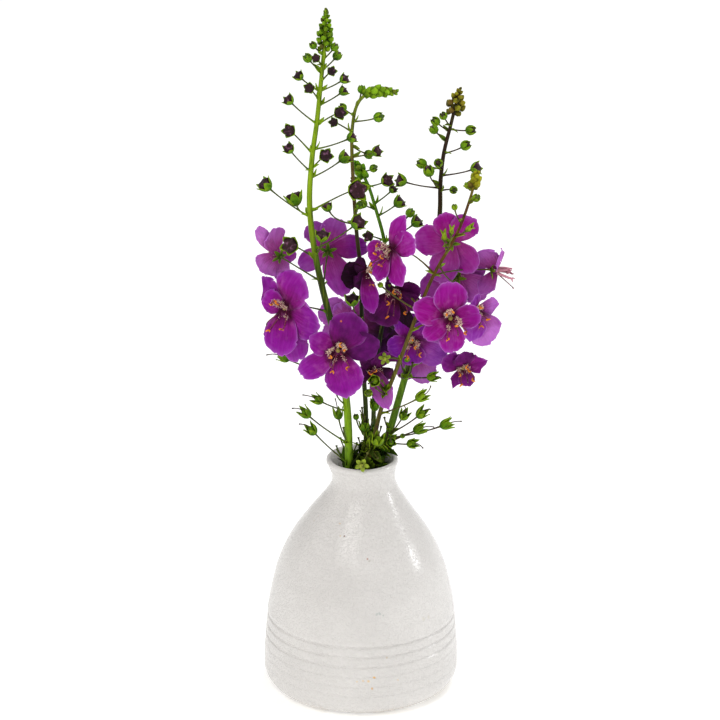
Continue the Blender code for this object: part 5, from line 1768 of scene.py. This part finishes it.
def petal_outline(share, across, width, point, habit):
    """How far along a petal of length 1 a point lies, and the half width there in millimetres."""
    opened = min(share / PETAL_BROADEST, 1.0)
    end = max(share - PETAL_BROADEST, 0.0) / (1.0 - PETAL_BROADEST)
    half = 0.5 * width * (PETAL_CLAW + (1.0 - PETAL_CLAW) * math.sin(0.5 * math.pi * opened) ** 1.3)
    half *= 1.0 - (0.05 + 0.3 * point) * end
    half *= 1.0 + 0.035 * share * math.sin(19.0 * share + 2.0 * habit["phase"] + across)
    arc = (1.0 - point) * math.sqrt(1.0 - 0.93 * across**2) + point * (1.0 - 0.9 * abs(across))
    broad, narrow, fine = PETAL_WAVES
    wave = broad * math.sin(habit["lobes"] * across + habit["phase"])
    wave += narrow * math.sin(13.0 * across - habit["phase"])
    wave += fine * math.sin(27.0 * across + 2.0 * habit["phase"])
    cut = 1.0 - arc * (1.0 + wave * (1.0 - across**2))
    return share - end * (1.0 - PETAL_BROADEST) * cut, half


def petal_rise(share, across, length, width, half, habit):
    """How far out of its plane a point of a petal lies, in millimetres: bow, dish, ruffles and folds."""
    fold = min(width, WIDEST_FOLD)
    bend = share * (1.0 - 0.35 * share)
    ruffle = math.sin(6.0 * share * habit["ruffle"] + 2.0 * across + habit["phase"])
    rise = habit["bow"] * length * 4.0 * share * (1.0 - share)
    rise += half * math.sin(PETAL_TWIST) * across * min(share * 3.0, 1.0)
    rise += habit["dish"] * half * (across**2 - 0.3) * share
    rise += RUFFLE_DEPTH * fold * share**2 * across**2 * ruffle
    rise += habit["pleat"] * fold * bend * math.sin(habit["pleats"] * across + habit["phase"])
    rise -= CREASE_DEPTH * fold * math.exp(-((across / CREASE_WIDTH) ** 2)) * bend
    rise -= habit["droop"] * length * max(share - 0.5, 0.0) ** 2 * 2.0
    return rise


def petal_habit(chance):
    """What makes one petal differ from the next."""
    return {
        "bow": chance.uniform(-0.03, 0.07),
        "lobes": chance.uniform(3.0, 6.0),
        "phase": chance.uniform(0.0, ANY_TURN),
        "dish": chance.uniform(-0.12, 0.26),
        "pleat": chance.uniform(0.012, 0.034),
        "pleats": chance.uniform(5.0, 9.0),
        "ruffle": chance.uniform(0.8, 1.6),
        "droop": chance.uniform(0.0, 0.16),
    }


def mark_undersides(made, face):
    """Tells the petals' undersides from their upper sides, in the fourth value of their tone."""
    tones = made.data.attributes["tone"].data
    for corner in made.data.vertices:
        tone = tones[corner.index]
        tone.color = (*tuple(tone.color)[:3], float(corner.normal.dot(face) > 0.0))


def make_corolla(name, skin):
    """The petals of an open flower as thin sheets, each over the last."""
    _, _, reading, look, (lightness_and_shade, redness, _) = BLOOMS[name]
    chance = random.Random(name)
    middle = sighted(*reading)
    corners, readings, sides, tones = [], [], [], []
    for order, (*tip, width, point, shift) in enumerate(PETALS[name]):
        width *= PETAL_FULLNESS
        face = facing(*TURNED_PETALS.get((name, order), look))
        length, onward, sideways, out = petal_axes(middle, sighted(*tip), face)
        habit = petal_habit(chance)
        light = lightness_and_shade + shift + chance.uniform(-0.04, 0.04)
        red = redness + chance.uniform(-0.07, 0.07)
        tone = (max(light, 0.0), max(red, 0.0), habit["phase"] / ANY_TURN, 1.0)
        tones += [tone] * (PETAL_ROWS * PETAL_COLUMNS)
        sides += lattice(PETAL_ROWS, PETAL_COLUMNS, len(corners))
        base = SEAT_GAP + 0.5 * PETAL_THICKNESS + PETAL_OVERLAP * order
        for row in range(PETAL_ROWS):
            for column in range(PETAL_COLUMNS):
                share, across = row / (PETAL_ROWS - 1), 2.0 * column / (PETAL_COLUMNS - 1) - 1.0
                along, half = petal_outline(share, across, width, point, habit)
                rise = base + petal_rise(share, across, length, width, half, habit)
                spot = onward * (length * along) + sideways * (half * across) + out * rise
                corners.append(middle + spot * MM)
                readings.append((0.5 + 0.5 * across, share))
    made = shape(f"{name}_corolla", corners, sides, marks={"tone": ("FLOAT_COLOR", tones)})
    map_corners(made, readings)
    made.data.materials.append(skin)
    thickened(made, PETAL_THICKNESS)
    mark_undersides(made, facing(*look))
    finished(made, "purple_petal", f"{name}_petals")


def filament_line(middle, axes, angle, reach, spread, droop, curl=0.0):
    """A filament's curve: out of the flower's middle, forward, and hooked in at its end."""
    level, up_face, face = axes
    path = []
    for share in CURVE_SHARES:
        turn = angle + curl * share**2
        out = level * math.cos(turn) + up_face * math.sin(turn)
        wide = FILAMENT_OUT + spread * math.sin(share * FILAMENT_OPENING)
        forward = FILAMENT_FRONT + FILAMENT_FORWARD * math.sin(share * FILAMENT_HOOK)
        fall = Vector((0.0, 0.0, -droop * share**2))
        path.append(middle + (out * wide + face * forward + fall) * reach * MM)
    return path


def add_filaments(lines, middle, axes, reach, habit, chance):
    """Three short woolly filaments and two long ones further down."""
    wool, wide, thick = habit
    radii = [thick * radius for radius in FILAMENT_RADII]
    maroon = paint(FILAMENT_COLOUR)
    for stamen in range(STAMENS):
        angle = 0.5 * math.pi + STAMEN_TURN * stamen + chance.uniform(-0.2, 0.2)
        long = math.sin(angle) < LONG_STAMENS
        if long:
            longer = LONG_STAMEN_REACH * reach
            path = filament_line(middle, axes, angle + 0.3, longer, 3.4 * wide, 1.4 * wide)
        else:
            curl = chance.choice((-1.3, 1.1))
            path = filament_line(middle, axes, angle, reach, 2.1 * wide, chance.uniform(-0.3, 0.4), curl)
        if wool:
            tint = shifted(maroon, chance, 0.3)
        else:
            tint = blend_paint(maroon, paint(PALE_FILAMENT_COLOUR), chance.uniform(0.1, 0.9))
        lines.add(path, radii, [tint] * len(path), 1.0, wool * (LONG_STAMEN_WOOL if long else 1.0))


def add_pistil(lines, middle, axes, reach, chance):
    """The ovary in the flower's middle and the style that hangs from it."""
    heart = [middle + axes[2] * (0.3 + rise) * MM for rise in OVARY_RISES]
    lines.add(heart, OVARY_RADII, [paint(OVARY_COLOUR)] * len(heart))
    angle = math.radians(-90.0 + chance.uniform(-40.0, 40.0))
    style = filament_line(middle, axes, angle, reach * 1.4, 1.8, 1.6)
    lines.add(style, STYLE_RADII, [paint(STYLE_COLOUR)] * (len(style) - 1) + [paint(STYLE_END_COLOUR)])


def make_stamens(name, recipe, parts, skins):
    """The five stamens of a flower with their wool and orange anthers, and its style."""
    _, _, reading, look, (_, _, reach) = BLOOMS[name]
    chance = random.Random(name + "stamens")
    middle, axes = sighted(*reading), bloom_frame(look)
    habit = STAMEN_HABITS.get(name, PLAIN_STAMENS)
    lines = Lines()
    add_filaments(lines, middle, axes, reach, habit, chance)
    add_pistil(lines, middle, axes, reach, chance)
    values = {
        "Anther": parts["anther"],
        "Hair": parts["hair"],
        "Seed": int(name[-2:]),
        "Filament skin": skins["filament_skin"],
        "Wool skin": skins["wool_skin"],
        "Anther skin": skins["anther_skin" if habit[0] else "filament_skin"],
    }
    made = grown(lines.as_object(f"{name}_woolly_stamens"), recipe, values)
    finished(made, "orange_stamen", f"{name}_stamens")


def groove_radius(height):
    """The vase's outside in its grooved band, with six soft grooves turned into it."""
    low = GROOVE_TOP - GROOVE_PITCH * (len(GROOVE_DEPTHS) - 1) - GROOVE_HALF_WIDTH
    share = (GROOVE_TOP - height) / (GROOVE_TOP - low)
    if share > 1.0:
        radius = BAND_RADIUS_FOOT - BAND_DRAWN_IN * (low - height) / (low - HEEL_OUTLINE[0][1])
    else:
        bulge = math.sin(0.5 * math.pi * max(share, 0.0))
        radius = BAND_RADIUS_TOP + (BAND_RADIUS_FOOT - BAND_RADIUS_TOP) * bulge
    for groove, depth in enumerate(GROOVE_DEPTHS):
        away = (height - GROOVE_TOP + GROOVE_PITCH * groove) / (GROOVE_STEEP * GROOVE_HALF_WIDTH)
        radius -= depth * math.exp(-(away**2))
    return radius


def smooth_outline(outline, steps):
    """More points along a smooth curve through (radius, height) points."""
    return [(point.x, point.y) for point in smooth_path([(*point, 0.0) for point in outline], steps)]


def outside_outline():
    """The vase's outside as (radius, height), from the rim's crest down to the foot."""
    joint = (groove_radius(BAND_TOP), BAND_TOP)
    upper = smooth_outline((*RIM_OUTLINE, *NECK_OUTLINE, *SHOULDER_OUTLINE, joint), 6)
    heights = [BAND_TOP - BAND_STEP * step for step in range(1, BAND_ROWS + 1)]
    band = [(groove_radius(height), height) for height in heights]
    return [*upper, *band, *smooth_outline(HEEL_OUTLINE, 4)]


def outside_radius(outline, height):
    """How far out the vase reaches at a height."""
    for (outer, high), (inner, low) in zip(outline, outline[1:]):
        if low <= height <= high and high > low:
            return inner + (outer - inner) * (height - low) / (high - low)
    return outline[-1][0]


def inside_outline():
    """The inside of the vase as (radius, height), from the mouth down to the edge of its floor."""
    shoulder = [(radius - WALL, height - SHOULDER_DROP * WALL) for radius, height in SHOULDER_OUTLINE[::2]]
    belly = [(BAND_RADIUS_FOOT - share * WALL, height) for share, height in BELLY_INSIDE]
    return [*MOUTH_INSIDE, *shoulder, *belly, (FLOOR_RADIUS, FLOOR_HEIGHT)]


def unsettle(vase):
    """Gives the turned vase a hand's slight unevenness, and a neck a little off to the right."""
    for corner in vase.data.vertices:
        angle = math.atan2(corner.co.y, corner.co.x)
        height = corner.co.z / MM
        drift = sum(size * math.sin(number * angle + turn * height) for size, number, turn in UNEVENNESS)
        lean = NECK_LEAN * math.exp(-(((height - NECK_LEAN_HEIGHT) / NECK_LEAN_REACH) ** 2))
        corner.co.x = corner.co.x * (1.0 + drift) + lean * MM
        corner.co.y *= 1.0 + drift


def make_vase(skin):
    """The bottle vase, turned from its outline."""
    outline = [*outside_outline(), (0.0, 0.0), (0.0, FLOOR_HEIGHT), *reversed(inside_outline())]
    corners = [(radius * MM, 0.0, height * MM) for radius, height in outline]
    edges = [(place, (place + 1) % len(corners)) for place in range(len(corners))]
    edges = [edge for edge in edges if any(outline[end][0] for end in edge)]
    vase = shape("vase_glazed", corners, edges=edges)
    turn = vase.modifiers.new("Turn", "SCREW")
    turn.steps = VASE_SIDES
    turn.render_steps = VASE_SIDES
    turn.use_merge_vertices = True
    turn.merge_threshold = WELD_GAP * MM
    settled(vase)
    unsettle(vase)
    upright(vase)
    vase.data.materials.append(skin)
    finished(vase, "white_ceramic", "vase")


def dress_water(skin):
    """The water keeps its solid and gets a clear material."""
    water = frame["nodes"]["water"]
    for slot in water.material_slots:
        slot.material = skin


def make_floor(skin):
    """A plain pale floor, far larger than the vase."""
    corners = [(x * FLOOR_REACH, y * FLOOR_REACH, 0.0) for x, y in ((-1, -1), (1, -1), (1, 1), (-1, 1))]
    floor = shape("floor", corners, [(0, 1, 2, 3)])
    floor.data.materials.append(skin)


def look_along(thing, direction):
    """Turns a camera or a light to look in a direction."""
    thing.rotation_euler = direction.to_track_quat("-Z", "Y").to_euler()


def set_camera():
    """The camera where the photograph was taken from."""
    data = bpy.data.cameras.new("front_view")
    data.lens = SENSOR_WIDTH * VIEW_DISTANCE / VIEW_WIDTH
    data.sensor_width = SENSOR_WIDTH
    data.clip_start, data.clip_end = 0.1, 20.0
    camera = in_scene("front_view", data)
    camera.location = EYE * MM
    look_along(camera, -TOWARDS_VIEWER)
    bpy.context.scene.camera = camera


def set_lights():
    """A white room with soft lights, the strongest from the front left and from above, and a tall window."""
    world = bpy.data.worlds.new("studio")
    world.use_nodes = True
    background = world.node_tree.nodes["Background"]
    background.inputs["Color"].default_value = (1.0, 1.0, 1.0, 1.0)
    background.inputs["Strength"].default_value = ROOM_BRIGHTNESS
    bpy.context.scene.world = world
    bpy.context.scene.view_settings.view_transform = "Standard"
    for name, place, aim, size, power, colour in LIGHTS:
        data = bpy.data.lights.new(name, "AREA")
        data.shape = "RECTANGLE"
        data.size, data.size_y = size
        data.energy = power
        data.color = colour
        light = in_scene(name, data)
        light.location = place
        look_along(light, Vector(aim) - Vector(place))


def main():
    """Builds the room, the vase with its water, the stems and the flowers."""
    looks = (petal_skin, stem_skin, leaf_skin, bud_skin, filament_skin, wool_skin, anther_skin)
    skins = {look.__name__: new_skin(look) for look in looks}
    recipes = {"stalks": stalk_recipe(), "growths": growth_recipe(), "stamens": stamen_recipe()}
    kinds = {"green": green_kinds(), "dark": dark_kinds()}
    parts = {
        "anther": bent_capsule("anther", *ANTHER, rings=9, count=8),
        "hair": curved_hair("wool_hair", *WOOL_HAIR),
    }
    stamen_parts = gathered("stamen_parts", *parts.values())
    set_camera()
    set_lights()
    make_floor(new_skin(floor_paper))
    make_vase(new_skin(white_glaze))
    dress_water(new_skin(clear_water))
    for name in STEMS:
        make_stem(name, recipes, kinds, skins)
    for name in BLOOMS:
        make_corolla(name, skins["petal_skin"])
        make_stamens(name, recipes["stamens"], parts, skins)
    for home in (*kinds.values(), stamen_parts):
        for part in list(home.objects):
            bpy.data.objects.remove(part)
        bpy.data.collections.remove(home)


main()
